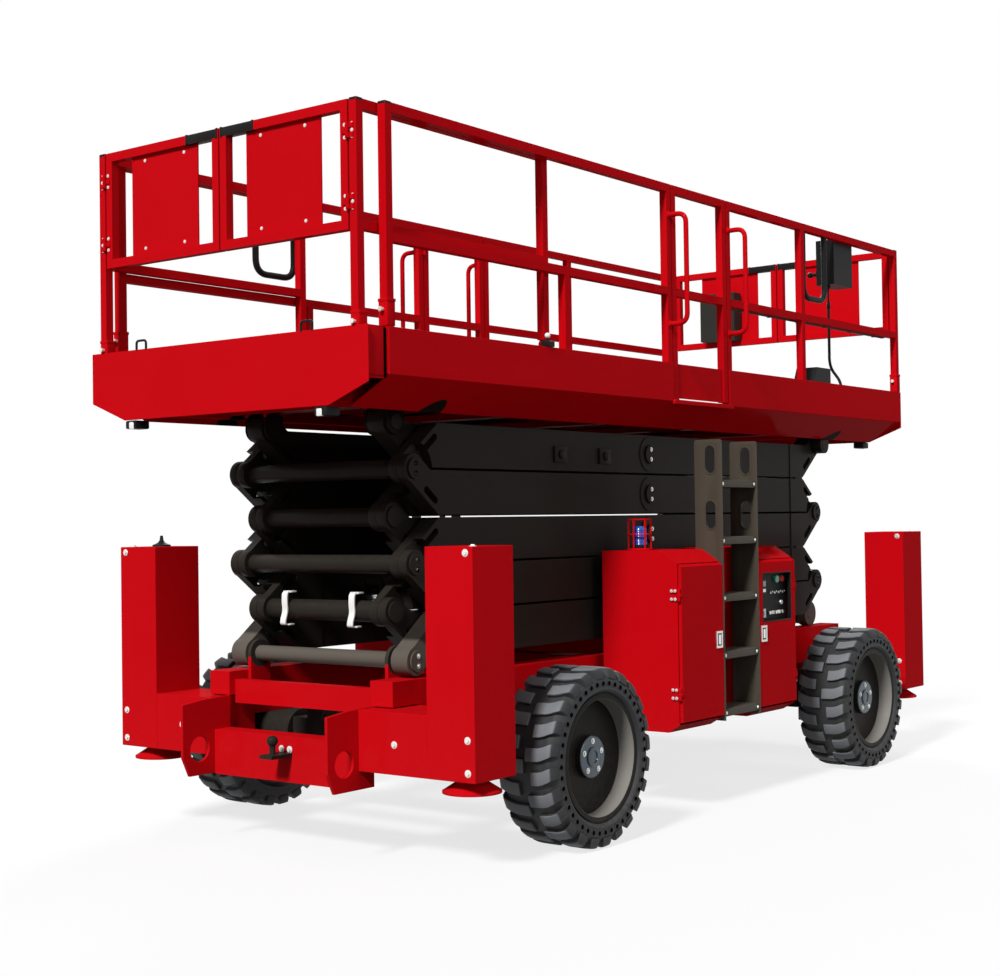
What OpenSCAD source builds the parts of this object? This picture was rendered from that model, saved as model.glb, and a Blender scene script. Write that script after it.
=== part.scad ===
// Rough-terrain scissor lift, lowered, with its outriggers up.
// Millimetres, +Z up. +X is the steered end, -X the end with the roll-out deck.

/* [Base] */
// Length over the four outrigger housings
base_l = 4476; // [4300:1:4700]
// Width over the four outrigger housings
base_w = 2184; // [2100:1:2300]
// How far the base sits towards the steered end from the platform's middle
base_x = 35; // [0:1:60]
// Top of the base rails, where the rollers run
rail_top = 770; // [740:1:800]
// Height of the base rails
rail_h = 210; // [160:1:240]
// Inner face of a base rail from the middle
rail_in = 440; // [420:1:450]
// Width of a base rail
rail_w = 130; // [100:1:140]

/* [Wheels] */
// Distance between the axles
wheelbase = 2798; // [2700:1:2900]
// Outside diameter of a tyre over its lugs
tyre_d = 800; // [760:1:820]
// Width of a tyre
tyre_w = 305; // [260:1:320]
// Outer face of the tyres, side to side
track_w = 2310; // [2250:1:2350]
// Diameter of the rim's outer edge
rim_d = 570; // [520:1:600]
// Wheel dish, from the tyre's outer face to the disc
dish = 95; // [60:1:130]

/* [Outriggers] */
// Length of an outrigger tower
tower_l = 272; // [240:1:300]
// Width of an outrigger tower
tower_w = 252; // [230:1:280]
// Bottom of the tower above the ground
tower_z = 393; // [370:1:420]
// Top of the tower above the ground
tower_top = 1351; // [1250:1:1400]
// Side of the square outrigger leg
leg_s = 120; // [100:1:140]
// Diameter of the outrigger's foot
foot_d = 250; // [200:1:270]

/* [Scissor stack] */
// Distance between the pins of one arm
arm_l = 3853.8; // [3700:0.1:3950]
// Height between pins, lowered
pin_pitch = 211; // [200:1:220]
// Width of an arm
arm_w = 95; // [80:1:100]
// Inner face of the inner arms from the middle
inner_y = 333; // [320:1:340]
// Inner face of the outer arms from the middle
outer_y = 456; // [445:1:465]
// Radius of an arm's end boss
boss_r = 65; // [58:1:70]
// Radius of the arm pins
pin_r = 36; // [30:1:40]
// Radius of the lower rollers
roller_r = 74.7; // [70:0.1:78]
// Radius of the upper rollers
top_roller_r = 55.7; // [50:0.1:60]

/* [Lift cylinders] */
// Barrel pivot from the shared arm joint
cyl_foot = 2600; // [2400:1:2700]
// Rod eye from the shared arm joint
cyl_eye = 500; // [450:1:600]
// Radius of a barrel
barrel_r = 62; // [50:1:70]
// Radius of a rod
rod_r = 40; // [30:1:45]
// Cylinder from the middle
cyl_y = 120; // [110:1:140]

/* [Platform] */
// Length over the platform's end plates
deck_l = 5102; // [4900:1:5300]
// Width over the platform's side plates
deck_w = 1710; // [1600:1:1760]
// Height of the toe board above the floor
toe_h = 185; // [150:1:200]
// Height of the top rail above the floor
guard_h = 1100; // [1100:1:1150]
// Middle of the mid rail above the floor
mid_h = 552; // [500:1:600]
// Side of the square rail tubes
tube = 40; // [35:1:45]
// Length of the roll-out deck's rails
ext_l = 1309; // [1200:1:1400]
// Left post of the gate
gate_x0 = -255; // [-300:1:-200]
// Right post of the gate
gate_x1 = 354; // [300:1:400]

/* [Cabinets and ladder] */
// Rear end of the rear cabinet
cab_x0 = -563; // [-600:1:-540]
// Left stile of the ladder
lad_x0 = -160; // [-180:1:-140]
// Right stile of the ladder
lad_x1 = 211; // [190:1:230]
// Front end of the front cabinet
cab_x1 = 619; // [590:1:650]
// Outer face of the cabinet doors
cab_out = 1074; // [1050:1:1090]
// Inner face of the cabinets
cab_in = 616; // [600:1:640]
// Bottom of the cabinets
cab_z = 410; // [390:1:430]
// Top of the cabinets
cab_top = 1295; // [1250:1:1320]

/* [Hidden] */
$fn = 64;
fit = 0.3;
weld = 0.2;
levels = 5;
stack_gap = 11;
half_span = sqrt(arm_l * arm_l - pin_pitch * pin_pitch) / 2;
stow = asin(pin_pitch / arm_l);
pin_z0 = rail_top + roller_r + fit;
pin_z5 = pin_z0 + levels * pin_pitch;
beam_z = pin_z5 + top_roller_r + fit;
beam_top = beam_z + 49;
floor_z = beam_top + 55;
toe_z = floor_z + toe_h;
guard_z = floor_z + guard_h;
mid_z = floor_z + mid_h;
deck_x = deck_l / 2;
side_y = deck_w / 2;
main_x = deck_x - 126;
post_y = side_y - 27;
ext_y = post_y - tube - 8;
ext_x = -deck_x + ext_l - tube / 2;
ext_x0 = -deck_x + 26 + weld;
end_h = base_l / 2;
tower_y0 = base_w / 2 - tower_w;
tower_y1 = base_w / 2;
tower_in = end_h - tower_l;
wheel_r = tyre_d / 2;
wheel_y1 = track_w / 2;
wheel_y0 = wheel_y1 - tyre_w;
wheel_y = wheel_y1 - tyre_w / 2;
front_x = base_x + wheelbase / 2;
rear_x = base_x - wheelbase / 2;
king_y = wheel_y0 - 60;
tower_mid_x = end_h - tower_l / 2;
tower_mid_y = tower_y1 - tower_w / 2;
lap_r = 122;
tube_y = inner_y + 5 - weld;
foot_x = -half_span + cyl_foot * cos(stow);
foot_z = pin_z0 + pin_pitch - cyl_foot * sin(stow);
eye_x2 = -half_span + cyl_eye * cos(stow);
eye_z2 = pin_z0 + pin_pitch + cyl_eye * sin(stow);
cyl_len = sqrt(pow(foot_x - eye_x2, 2) + pow(eye_z2 - foot_z, 2));
cyl_tilt = atan2(eye_z2 - foot_z, foot_x - eye_x2);
rod_eye_r = 55;
eye_tube_r = 38;
eye_up = rod_eye_r + eye_tube_r + 7;
beam_in = outer_y + arm_w + 5;
beam_out = beam_in + 84;
rail_bot = rail_top - rail_h;
end_rail_z = rail_top - 110;
rail_x1 = max(end_h - 95, half_span + base_x + boss_r + 20);
cross_x = tower_in * 0.51;
eye_t = 16;
eye_r = 57;
lug_h = 20;
lugs = 16;
tread_r = wheel_r - lug_h;
bead_r = rim_d / 2 - 12;
track_x = ext_x + 102;
mid_post = gate_x1 + (deck_x - 26 - gate_x1) * 0.4;
bearer_x0 = ext_x + 142;
bearer_step = (deck_x - 571 - bearer_x0) / 5;
panel_y = post_y - tube / 2;
ctl_x = mid_post + 490;
ctl_l = 252;
ctl_z = guard_z - 298;
lead_r = 9;
lead_x = ctl_x + 40;
lead_y = panel_y - 60;
lead_top = ctl_z - 140;
lead_route = [
  [0, 0], [0, -40], [0, -80], [0, -120], [0, -160], [0, -200], [0, -240], [0, -280],
  [0, -310], [5, -346], [18, -380], [39, -410], [60, -440], [73, -474], [78, -510], [78, -532]
];
lead_sides = 12;
lead_rings = len(lead_route);
plug_y = lead_y + lead_route[lead_rings - 1][0];
plug_top = lead_top + lead_route[lead_rings - 1][1];
socket_x = mid_post + 103;
socket_l = 220;
loop_l = 308;
loop_z = guard_z - 443;
loop_r = 12;
grab_out = 122;
grab_r = 16;
lad_y0 = cab_out - 155;
lad_y1 = cab_out + 3;
lad_t = 8;
lad_top = beam_z - 106;
step_pitch = 289.5;
window_z = cab_top - 394;
window_h = 259;
hinge_gap = 8;
hinge_r = 8;
red = [0.78, 0.05, 0.07];
black = [0.09, 0.085, 0.08];
grey = [0.28, 0.26, 0.24];
steel = [0.6, 0.6, 0.62];

function pin_z(k) = pin_z0 + k * pin_pitch;

module box(x0, x1, y0, y1, z0, z1) {
  translate([x0, y0, z0])
    cube([x1 - x0, y1 - y0, z1 - z0]);
}

module cyl_y(x, y0, y1, z, r) {
  translate([x, y1, z])
    rotate([90, 0, 0])
      cylinder(h = y1 - y0, r = r);
}

module cyl_z(x, y, z0, z1, r) {
  translate([x, y, z0])
    cylinder(h = z1 - z0, r = r);
}

module plate_xz(y0, y1) {
  translate([0, y1, 0])
    rotate([90, 0, 0])
      linear_extrude(height = y1 - y0)
        children();
}

module plate_yz(x0, x1) {
  translate([x0, 0, 0])
    rotate([90, 0, 90])
      linear_extrude(height = x1 - x0)
        children();
}

module both_sides() {
  children();
  mirror([0, 1, 0])
    children();
}

module both_ends() {
  children();
  mirror([1, 0, 0])
    children();
}

// A hinge on Z: the fixed knuckles and their plate reach back, the middle one reaches on
module hinge_fixed(reach) {
  for (z = [-30, 10 + fit])
    translate([0, 0, z]) {
      cylinder(h = 20 - fit, r = hinge_r, $fn = 32);
      translate([-reach, -hinge_r - 1, 0])
        cube([reach, 6, 20 - fit]);
    }
}

module hinge_moving(reach) {
  translate([0, 0, -10]) {
    cylinder(h = 20, r = hinge_r, $fn = 32);
    translate([0, -hinge_r - 1, 0])
      cube([reach, 6, 20]);
  }
}

module at_base() {
  translate([base_x, 0, 0])
    children();
}

// Base

module base_end() {
  eye_x = end_h + 190;
  both_sides()
    difference() {
      plate_xz(rail_in, rail_in + eye_t)
        polygon([[-eye_x, 400], [-eye_x + 40, 313], [-end_h + 100, 313], [-end_h + 100, end_rail_z - weld],
                 [-end_h - 60, 655], [-eye_x, 640]]);
      cyl_y(-end_h - 89, rail_in - 1, rail_in + eye_t + 1, 432, eye_r);
    }
  box(-end_h, -end_h + 100, -rail_in + weld, rail_in - weld, 309, 513);
  box(-end_h + 130, -end_h + 180, -rail_in + weld, rail_in - weld, end_rail_z - 38, rail_top - 39);
  both_sides()
    box(-rail_x1, -tower_in + 1 - weld, rail_in, rail_in + rail_w, end_rail_z, rail_top);
}

module chassis_frame() {
  color(red)
    at_base() {
      both_sides()
        box(-tower_in + 1, tower_in - 1, rail_in, rail_in + rail_w, rail_bot, rail_top);
      both_ends()
        base_end();
      for (x = [-cross_x, 0, cross_x])
        box(x - 60, x + 60, -rail_in + weld, rail_in - weld, rail_bot + 20, rail_top - 60);
      both_sides()
        difference() {
          plate_xz(rail_in - 20, rail_in - weld)
            translate([-half_span - base_x, 0])
              union() {
                translate([0, pin_z0])
                  circle(r = boss_r);
                translate([-boss_r * 0.98, rail_top - 70])
                  square([2 * boss_r * 0.98, pin_z0 - rail_top + 70]);
              }
          cyl_y(-half_span - base_x, rail_in - 40, rail_in + 20, pin_z0, pin_r + fit);
        }
      for (x = [lad_x0 - 120, lad_x1 + 120])
        both_sides()
          box(x - base_x - 40, x - base_x + 40, rail_in + rail_w + weld, cab_in - weld,
              rail_bot + 40, rail_top - 50);
    }
}

module outrigger_housings() {
  wall = 8;
  guide = leg_s / 2 + fit;
  shelf = tower_z + 487;
  color(red)
    at_base()
      both_sides()
        both_ends() {
          difference() {
            box(-end_h, -tower_in, tower_y0, tower_y1, tower_z, tower_top);
            box(-end_h + wall, -tower_in - wall, tower_y0 + wall, tower_y1 - wall, tower_z + 25, shelf);
            box(-end_h + wall, -tower_in - wall, tower_y0 + wall, tower_y1 - wall,
                shelf + 25, tower_top - wall);
            translate([-tower_mid_x, tower_mid_y, tower_z - 1])
              translate([-guide, -guide, 0])
                cube([2 * guide, 2 * guide, 600]);
          }
          box(-end_h, -tower_in, rail_in + eye_t + fit, tower_y0 - weld, tower_z, end_rail_z - 5);
        }
}

module tow_ball() {
  color(black)
    at_base() {
      translate([-end_h - 82, -20, 500]) {
        sphere(r = 25);
        translate([0, 0, -60])
          cylinder(h = 50, r = 14);
      }
      box(-end_h - 125, -end_h - fit, -60, 20, 425, 441);
    }
}

module axle_beam(x, half) {
  box(x - 70, x + 70, -half, half, wheel_r - 75, wheel_r + 75);
  both_sides()
    box(x - 110, x + 110, rail_in + 10, rail_in + rail_w - 10, wheel_r + 75 + weld, rail_bot - weld);
}

module rear_axle() {
  hub = wheel_y1 - dish - 24 - fit;
  color(black) {
    axle_beam(rear_x, king_y - 90);
    both_sides() {
      cyl_y(rear_x, king_y - 90 + weld, hub, wheel_r, 110);
      cyl_y(rear_x, hub + weld, hub + 32, wheel_r, 60);
    }
  }
}

module steer_axle() {
  color(black) {
    axle_beam(front_x, king_y - 100 - weld);
    both_sides() {
      box(front_x - 60, front_x + 60, king_y - 100, king_y - 70, wheel_r - 150, wheel_r + 150);
      for (z = [wheel_r - 150, wheel_r + 118])
        difference() {
          box(front_x - 55, front_x + 55, king_y - 70 + weld, king_y + 40, z, z + 32);
          cyl_z(front_x, king_y, z - 10, z + 42, 30 + fit);
        }
    }
  }
}

module knuckle() {
  cyl_z(0, 0, -165, 165, 30);
  cyl_z(0, 0, -112, 112, 56);
  cyl_y(0, 20, wheel_y1 - dish - 24 - fit - king_y, 0, 95);
  cyl_y(0, 30, wheel_y1 - dish + 8 - king_y, 0, 60);
}

module knuckle_right() {
  color(black)
    mirror([0, 1, 0])
      translate([front_x, king_y, wheel_r])
        knuckle();
}

module knuckle_left() {
  color(black)
    translate([front_x, king_y, wheel_r])
      knuckle();
}

// A lug block of the tread, on the +Y half, slanted towards the shoulder
module lug(y0, y1) {
  translate([0, (y0 + y1) / 2, 0])
    rotate([0, 0, 24])
      translate([-27, -(y1 - y0) / 2, tread_r - 30])
        cube([54, y1 - y0, lug_h + 33]);
}

module tyre() {
  w = tyre_w / 2;
  rotate([-90, 0, 0])
    rotate_extrude($fn = 36)
      polygon([[bead_r, -w + 24], [bead_r + 12, -w + 24], [bead_r + 30, -w + 4], [bead_r + 70, -w + 2],
               [tread_r - 26, -w + 10], [tread_r, -w + 42], [tread_r, w - 42], [tread_r - 26, w - 10],
               [bead_r + 70, w - 2], [bead_r + 30, w - 4], [bead_r + 12, w - 24], [bead_r, w - 24]]);
  intersection() {
    cyl_y(0, -w, w, 0, wheel_r, $fn = 64);
    for (i = [0 : lugs - 1])
      rotate([0, i * 360 / lugs, 0]) {
        lug(6, w - 6);
        rotate([0, 180 / lugs, 0])
          mirror([0, 1, 0])
            lug(6, w - 6);
      }
  }
}

module rim() {
  w = tyre_w / 2;
  r_out = bead_r - fit;
  disc = w - dish;
  rotate([-90, 0, 0])
    rotate_extrude($fn = 72)
      polygon([[60 + fit, disc - 22], [r_out - 14, disc - 22], [r_out - 14, -w + 26],
               [r_out, -w + 26], [r_out, w - 23.6], [r_out + 9, w - 23.6], [r_out + 9, w - 15],
               [r_out - 14, w - 15], [r_out - 14, disc], [95, disc], [95, disc + 22],
               [60 + fit, disc + 22]]);
}

module wheel_at(x, side) {
  mirror([0, side < 0 ? 1 : 0, 0])
    translate([x, wheel_y, wheel_r])
      children();
}

module tyre_rear_right() {
  color(black)
    wheel_at(rear_x, -1)
      tyre();
}

module tyre_rear_left() {
  color(black)
    wheel_at(rear_x, 1)
      tyre();
}

module tyre_front_right() {
  color(black)
    wheel_at(front_x, -1)
      tyre();
}

module tyre_front_left() {
  color(black)
    wheel_at(front_x, 1)
      tyre();
}

module rim_rear_right() {
  color(grey)
    wheel_at(rear_x, -1)
      rim();
}

module rim_rear_left() {
  color(grey)
    wheel_at(rear_x, 1)
      rim();
}

module rim_front_right() {
  color(grey)
    wheel_at(front_x, -1)
      rim();
}

module rim_front_left() {
  color(grey)
    wheel_at(front_x, 1)
      rim();
}

module leg(x_end, side) {
  at_base()
    translate([x_end * tower_mid_x, side * tower_mid_y, 0]) {
      translate([-leg_s / 2, -leg_s / 2, 386])
        cube([leg_s, leg_s, 900]);
      cyl_z(0, 0, 331, 341, foot_d / 2);
      translate([0, 0, 340.5])
        cylinder(h = 32, r1 = foot_d / 2 - 1, r2 = 74);
      cyl_z(0, 0, 360, 387, 70);
    }
}

module leg_rear_right() {
  color(red)
    leg(-1, -1);
}

module leg_rear_left() {
  color(red)
    leg(-1, 1);
}

module leg_front_right() {
  color(red)
    leg(1, -1);
}

module leg_front_left() {
  color(red)
    leg(1, 1);
}

// Scissor stack

module end_plate() {
  ta = 37.5;
  top = pin_pitch - stack_gap / 2;
  bot = stack_gap / 2;
  tx = 0.96 * boss_r * sin(ta);
  tz = 0.96 * boss_r * cos(ta);
  difference() {
    union() {
      circle(r = boss_r);
      polygon([[-tx, tz], [-tx + (top - tz) / tan(ta), top], [330, top], [330, bot],
               [tx + (bot + tz) / tan(ta), bot], [tx, -tz]]);
    }
    translate([112, 118])
      rotate(ta)
        polygon([[-54, -6], [-44, -16], [44, -16], [54, -6], [54, 6], [44, 16], [-44, 16], [-54, 6]]);
  }
}

// One side of an arm that rises towards +X, from its lower pin's height
module arm_side(z, y, low_lap, high_lap) {
  mid = y + arm_w / 2;
  z1 = z + pin_pitch;
  difference() {
    union() {
      box(-half_span + 310, half_span - 310, y + 5, y + arm_w - 5,
          z + stack_gap / 2, z1 - stack_gap / 2);
      plate_xz(y, y + arm_w) {
        translate([-half_span, z])
          end_plate();
        translate([half_span, z1])
          rotate(180)
            end_plate();
      }
      cyl_y(0, y, y + arm_w, z + pin_pitch / 2, 92);
    }
    cyl_y(-half_span, y - 1, y + arm_w + 1, z, pin_r + fit);
    cyl_y(half_span, y - 1, y + arm_w + 1, z1, pin_r + fit);
    cyl_y(0, y - 1, y + arm_w + 1, z + pin_pitch / 2, pin_r + fit);
    if (low_lap)
      cyl_y(-half_span, mid - 1, y + arm_w + 1, z, lap_r);
    if (high_lap)
      cyl_y(half_span, y - 1, mid + 1, z1, lap_r);
  }
}

module shaft(x, z, y, mid_r) {
  out = y + arm_w + 2;
  cyl_y(x, -y + 2, y - 2, z, mid_r);
  cyl_y(x, -out - 1, out + 1, z, pin_r);
  both_sides()
    cyl_y(x, out, out + 8, z, pin_r + 12);
}

// Level k from 1; odd levels' outer arms rise towards +X
module outer_arms(k) {
  z = pin_z(k - 1);
  flip = (k % 2 == 0) ? 1 : 0;
  color(black)
    mirror([flip, 0, 0]) {
      both_sides() {
        arm_side(z, outer_y, k > 1, k < levels);
        cyl_y(0, inner_y - 4, outer_y + arm_w + 2, z + pin_pitch / 2, pin_r);
        cyl_y(0, inner_y - 14, inner_y - 4, z + pin_pitch / 2, pin_r + 14);
        cyl_y(0, outer_y + arm_w + 2, outer_y + arm_w + 10, z + pin_pitch / 2, pin_r + 14);
      }
      shaft(-half_span, z, outer_y, pin_r + (k == 1 ? 0 : 6));
      if (k == levels)
        both_sides() {
          cyl_y(half_span, outer_y - 8, outer_y + arm_w + 72, z + pin_pitch, pin_r);
          cyl_y(half_span, outer_y - 14, outer_y - 4, z + pin_pitch, pin_r + 12);
          cyl_y(half_span, outer_y + arm_w + 6, outer_y + arm_w + 70, z + pin_pitch, top_roller_r);
        }
    }
}

// Level k from 1; odd levels' inner arms rise towards -X
module inner_arms(k) {
  z = pin_z(k - 1);
  flip = (k % 2 == 0) ? 0 : 1;
  color(black)
    mirror([flip, 0, 0]) {
      both_sides()
        arm_side(z, inner_y, k > 1, k < levels);
      if (k > 1)
        shaft(-half_span, z, inner_y, k == 2 ? 47.5 : pin_r + 6);
      cyl_y(flip ? -900 : 900, -tube_y, tube_y, z + pin_pitch / 2, 40);
      if (k == 1)
        both_sides() {
          cyl_y(-half_span, inner_y - 8, inner_y + arm_w + 76, z, pin_r);
          cyl_y(-half_span, inner_y - 14, inner_y - 4, z, pin_r + 12);
          cyl_y(-half_span, inner_y + arm_w + 14, inner_y + arm_w + 74, z, roller_r);
        }
      if (k == levels)
        both_sides() {
          cyl_y(half_span, inner_y - 26, inner_y + arm_w + 24, z + pin_pitch, pin_r);
        }
    }
  if (k == 1)
    color(black)
      cyl_y(foot_x, -tube_y, tube_y, foot_z, 34);
  if (k == 2)
    color(black) {
      cyl_y(eye_x2, -tube_y, tube_y, eye_z2 + eye_up, eye_tube_r);
      for (s = [-1, 1])
        for (d = [-56, 56])
          box(eye_x2 - 45, eye_x2 + 45, s * cyl_y + d - 8, s * cyl_y + d + 8, eye_z2 - 40, eye_z2 + eye_up);
    }
}

module outer_arms_1() {
  outer_arms(1);
}

module outer_arms_2() {
  outer_arms(2);
}

module outer_arms_3() {
  outer_arms(3);
}

module outer_arms_4() {
  outer_arms(4);
}

module outer_arms_5() {
  outer_arms(5);
}

module inner_arms_1() {
  inner_arms(1);
}

module inner_arms_2() {
  inner_arms(2);
}

module inner_arms_3() {
  inner_arms(3);
}

module inner_arms_4() {
  inner_arms(4);
}

module inner_arms_5() {
  inner_arms(5);
}

// Lift cylinders, foot on the first inner arms, eye on the second
module at_cylinder() {
  for (s = [-1, 1])
    translate([foot_x, s * cyl_y, foot_z])
      rotate([0, cyl_tilt, 0])
        rotate([0, -90, 0])
          children();
}

module lift_barrels() {
  color(grey)
    at_cylinder() {
      difference() {
        union() {
          rotate([90, 0, 0])
            translate([0, 0, -45])
              cylinder(h = 90, r = 62);
          translate([-35, -40, 0])
            cube([70, 80, 95]);
          difference() {
            translate([0, 0, 90])
              cylinder(h = cyl_len - 300, r = barrel_r);
            translate([0, 0, 130])
              cylinder(h = cyl_len, r = rod_r + fit);
          }
        }
        rotate([90, 0, 0])
          translate([0, 0, -60])
            cylinder(h = 120, r = 34 + fit);
      }
    }
}

module lift_rods() {
  color(steel)
    at_cylinder() {
      translate([0, 0, cyl_len - 1500])
        cylinder(h = 1460, r = rod_r);
      difference() {
        translate([0, 40, cyl_len])
          rotate([90, 0, 0])
            cylinder(h = 80, r = rod_eye_r);
        translate([0, 50, cyl_len])
          rotate([90, 0, 0])
            cylinder(h = 100, r = 25);
      }
    }
}

module hose_clips() {
  color([0.9, 0.9, 0.9])
    for (y = [-222, 199])
      plate_xz(y - 20, y + 20)
        translate([-half_span - 47.5 - fit - 24, pin_z(1) - 72])
          square([24, 158]);
}

// Cabinets and ladder

module cab_shape(inset) {
  polygon([[cab_in + inset, cab_z + inset], [cab_out - 82 - inset / 2, cab_z + inset],
           [cab_out - 21, cab_z + 37 + inset / 2], [cab_out - 21, cab_top - 62 - inset / 2],
           [cab_out - 117 - inset / 2, cab_top - inset], [cab_in + inset, cab_top - inset]]);
}

module cabinet(x0, x1) {
  difference() {
    plate_yz(x0, x1)
      cab_shape(0);
    plate_yz(x0 + 6, x1 - 6)
      union() {
        cab_shape(6);
        translate([cab_out - 100, cab_z + 70])
          square([120, cab_top - cab_z - 165]);
      }
  }
}

module cabinets() {
  color(red)
    both_sides() {
      cabinet(cab_x0, lad_x0);
      cabinet(lad_x1, cab_x1);
      door_hinge_fixed(cab_x0, 1);
      door_hinge_fixed(cab_x1, -1);
    }
}

module engine_block() {
  color(grey)
    box(cab_x0 + 30, lad_x0 - 30, cab_in + 44, cab_out - 114, cab_z + 6 + weld, cab_top - 245);
}

module ladders() {
  color(grey)
    both_sides() {
      for (x = [lad_x0 + fit, lad_x1 - fit - lad_t])
        difference() {
          box(x, x + lad_t, lad_y0, lad_y1, cab_z + 20, lad_top);
          for (z = [lad_top - 400, lad_top - 150])
            box(x - 1, x + lad_t + 1, lad_y1 - 47, lad_y1 - 17, z, z + 110);
        }
      for (i = [0 : 4])
        translate([0, 0, cab_z + 57 + i * step_pitch])
          box(lad_x0 + lad_t + fit + weld, lad_x1 - lad_t - fit - weld, lad_y0 + 6, lad_y1 - 7, -18, 18);
    }
}

module control_panel() {
  color(black)
    mirror([0, 1, 0])
      box(lad_x1 + 6 + weld, cab_x1 - 6 - weld, cab_out - 90, cab_out - 40,
          window_z - 12, window_z + window_h + 12);
}

module at_beacon() {
  mirror([0, 1, 0])
    translate([cab_x0 + 127, cab_out - 314, cab_top + weld])
      children();
}

module beacon() {
  color([0.1, 0.2, 0.8])
    at_beacon()
      translate([0, 0, 10 + weld]) {
        cylinder(h = 16, r = 44);
        translate([0, 0, 15])
          cylinder(h = 80, r = 36);
        translate([0, 0, 94])
          cylinder(h = 18, r1 = 36, r2 = 22);
      }
}

module beacon_guard() {
  color(red)
    at_beacon() {
      cylinder(h = 10, r = 64);
      for (a = [0 : 60 : 300])
        rotate(a)
          translate([56, 0, 9])
            cylinder(h = 150, r = 4, $fn = 16);
      for (z = [78, 152])
        translate([0, 0, z])
          difference() {
            cylinder(h = 6, r = 58.5, $fn = 36);
            translate([0, 0, -1])
              cylinder(h = 8, r = 53.5, $fn = 36);
          }
    }
}

// Door hinges on a cabinet's outer corner; dir points from the hinge along the door
module door_hinge_fixed(x, dir) {
  for (z = [cab_z + 190, cab_top - 215])
    translate([x - dir * hinge_r, cab_out - 9, z])
      mirror([dir < 0 ? 1 : 0, 0, 0])
        for (k = [-30, 10 + fit])
          translate([0, 0, k]) {
            cylinder(h = 20 - fit, r = hinge_r, $fn = 32);
            translate([2, -51, 0])
              cube([7, 51, 20 - fit]);
          }
}

module door_hinge_moving(x, dir) {
  for (z = [cab_z + 190, cab_top - 215])
    translate([x - dir * hinge_r, cab_out - 9, z - 10])
      mirror([dir < 0 ? 1 : 0, 0, 0]) {
        cylinder(h = 20, r = hinge_r, $fn = 32);
        translate([0, 4, 0])
          cube([36, 7, 20]);
      }
}

module door(x0, x1, window) {
  gap = 3;
  if (x0 < 0)
    door_hinge_moving(x0, 1);
  else
    door_hinge_moving(x1, -1);
  difference() {
    plate_yz(x0 + gap, x1 - gap)
      polygon([[cab_out - 18, cab_z + 50], [cab_out, cab_z + 52], [cab_out, cab_top - 79],
               [cab_out - 18, cab_top - 67]]);
    if (window)
      box(x0 + 42, x1 - 48, cab_out - 20, cab_out + 1, window_z, window_z + window_h);
  }
}

module door_rear_right() {
  color(red)
    mirror([0, 1, 0])
      door(cab_x0, lad_x0, false);
}

module door_front_right() {
  color(red)
    mirror([0, 1, 0])
      door(lad_x1, cab_x1, true);
}

module door_rear_left() {
  color(red)
    door(cab_x0, lad_x0, false);
}

module door_front_left() {
  color(red)
    door(lad_x1, cab_x1, false);
}

// Platform

// A side of the platform: toe board with its gate gap, sloped skirt, beam, track and threshold
module deck_side() {
  x1 = deck_x - 6 - weld;
  toe_y = side_y - 6;
  slope_z = floor_z - 10;
  box(-main_x, gate_x0 + 20 - weld, toe_y, side_y, slope_z, toe_z);
  box(gate_x1 - 20 + weld, x1, toe_y, side_y, slope_z, toe_z);
  box(gate_x0 + 20, gate_x1 - 20, toe_y, side_y, slope_z, floor_z);
  plate_yz(-main_x, x1)
    polygon([[side_y, slope_z - weld], [beam_out + weld, beam_z - 26], [beam_out + weld, beam_z - 18],
             [toe_y, slope_z - weld]]);
  box(-main_x, x1, beam_in, beam_out - 8 - weld, beam_z, beam_top);
  box(-main_x, x1, beam_out - 8, beam_out, beam_z - 26, beam_top);
  box(-main_x, track_x + 20, ext_y - 16, panel_y - weld, toe_z - 6, toe_z);
  box(-main_x + 45, track_x - 30, panel_y - 1, toe_y - weld, toe_z - 6, toe_z);
  box(gate_x0, gate_x1, side_y + weld, side_y + 14, floor_z - 25, floor_z - 5);
}

module deck_frame() {
  x1 = deck_x - 6 - weld;
  lug_top = beam_top - 32 - weld;
  color(red) {
    both_sides() {
      deck_side();
      for (y = [inner_y - 23, inner_y + arm_w + 4])
        difference() {
          plate_xz(y, y + 17)
            translate([-half_span, pin_z5])
              union() {
                circle(r = 58);
                translate([-57, 0])
                  square([114, lug_top - pin_z5]);
              }
          cyl_y(-half_span, y - 1, y + 18, pin_z5, pin_r + fit);
        }
    }
    box(-main_x, x1, -side_y + 6 + weld, side_y - 6 - weld, floor_z - 8, floor_z);
    for (x = [-half_span - 60, -half_span * 0.47, 0, half_span * 0.47, half_span - 60, deck_x - 130])
      box(x, x + 120, -beam_in + weld, beam_in - weld, beam_top - 32, beam_top);
    for (i = [0 : 5])
      translate([bearer_x0 + i * bearer_step, 0, 0])
        box(0, 60, -beam_out + 1, beam_out - 1, beam_top + weld, floor_z - 8 - weld);
    plate_yz(deck_x - 6, deck_x)
      end_shape();
  }
}

module end_shape() {
  polygon([[-side_y, toe_z], [side_y, toe_z], [side_y, floor_z - 45], [beam_out - 8, beam_z - 26],
           [-beam_out + 8, beam_z - 26], [-side_y, floor_z - 45]]);
}

module rail_x(x0, x1, y, z) {
  box(x0 + tube / 2 + weld, x1 - tube / 2 - weld, y - tube / 2, y + tube / 2, z - tube, z);
}

module post(x, y, z0, z1) {
  box(x - tube / 2, x + tube / 2, y - tube / 2, y + tube / 2, z0, z1);
}

// A bow handle on the outside of a gate post
module grab(x) {
  y = post_y + grab_out;
  cyl_z(x, y, mid_z - 199, guard_z - 130, grab_r);
  for (z = [mid_z - 170, guard_z - 160])
    cyl_y(x, post_y + tube / 2 + weld, y - grab_r - weld, z, grab_r - 1.5);
}

module grab_handles() {
  color(red)
    both_sides()
      for (x = [gate_x0, gate_x1])
        grab(x);
}

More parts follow.
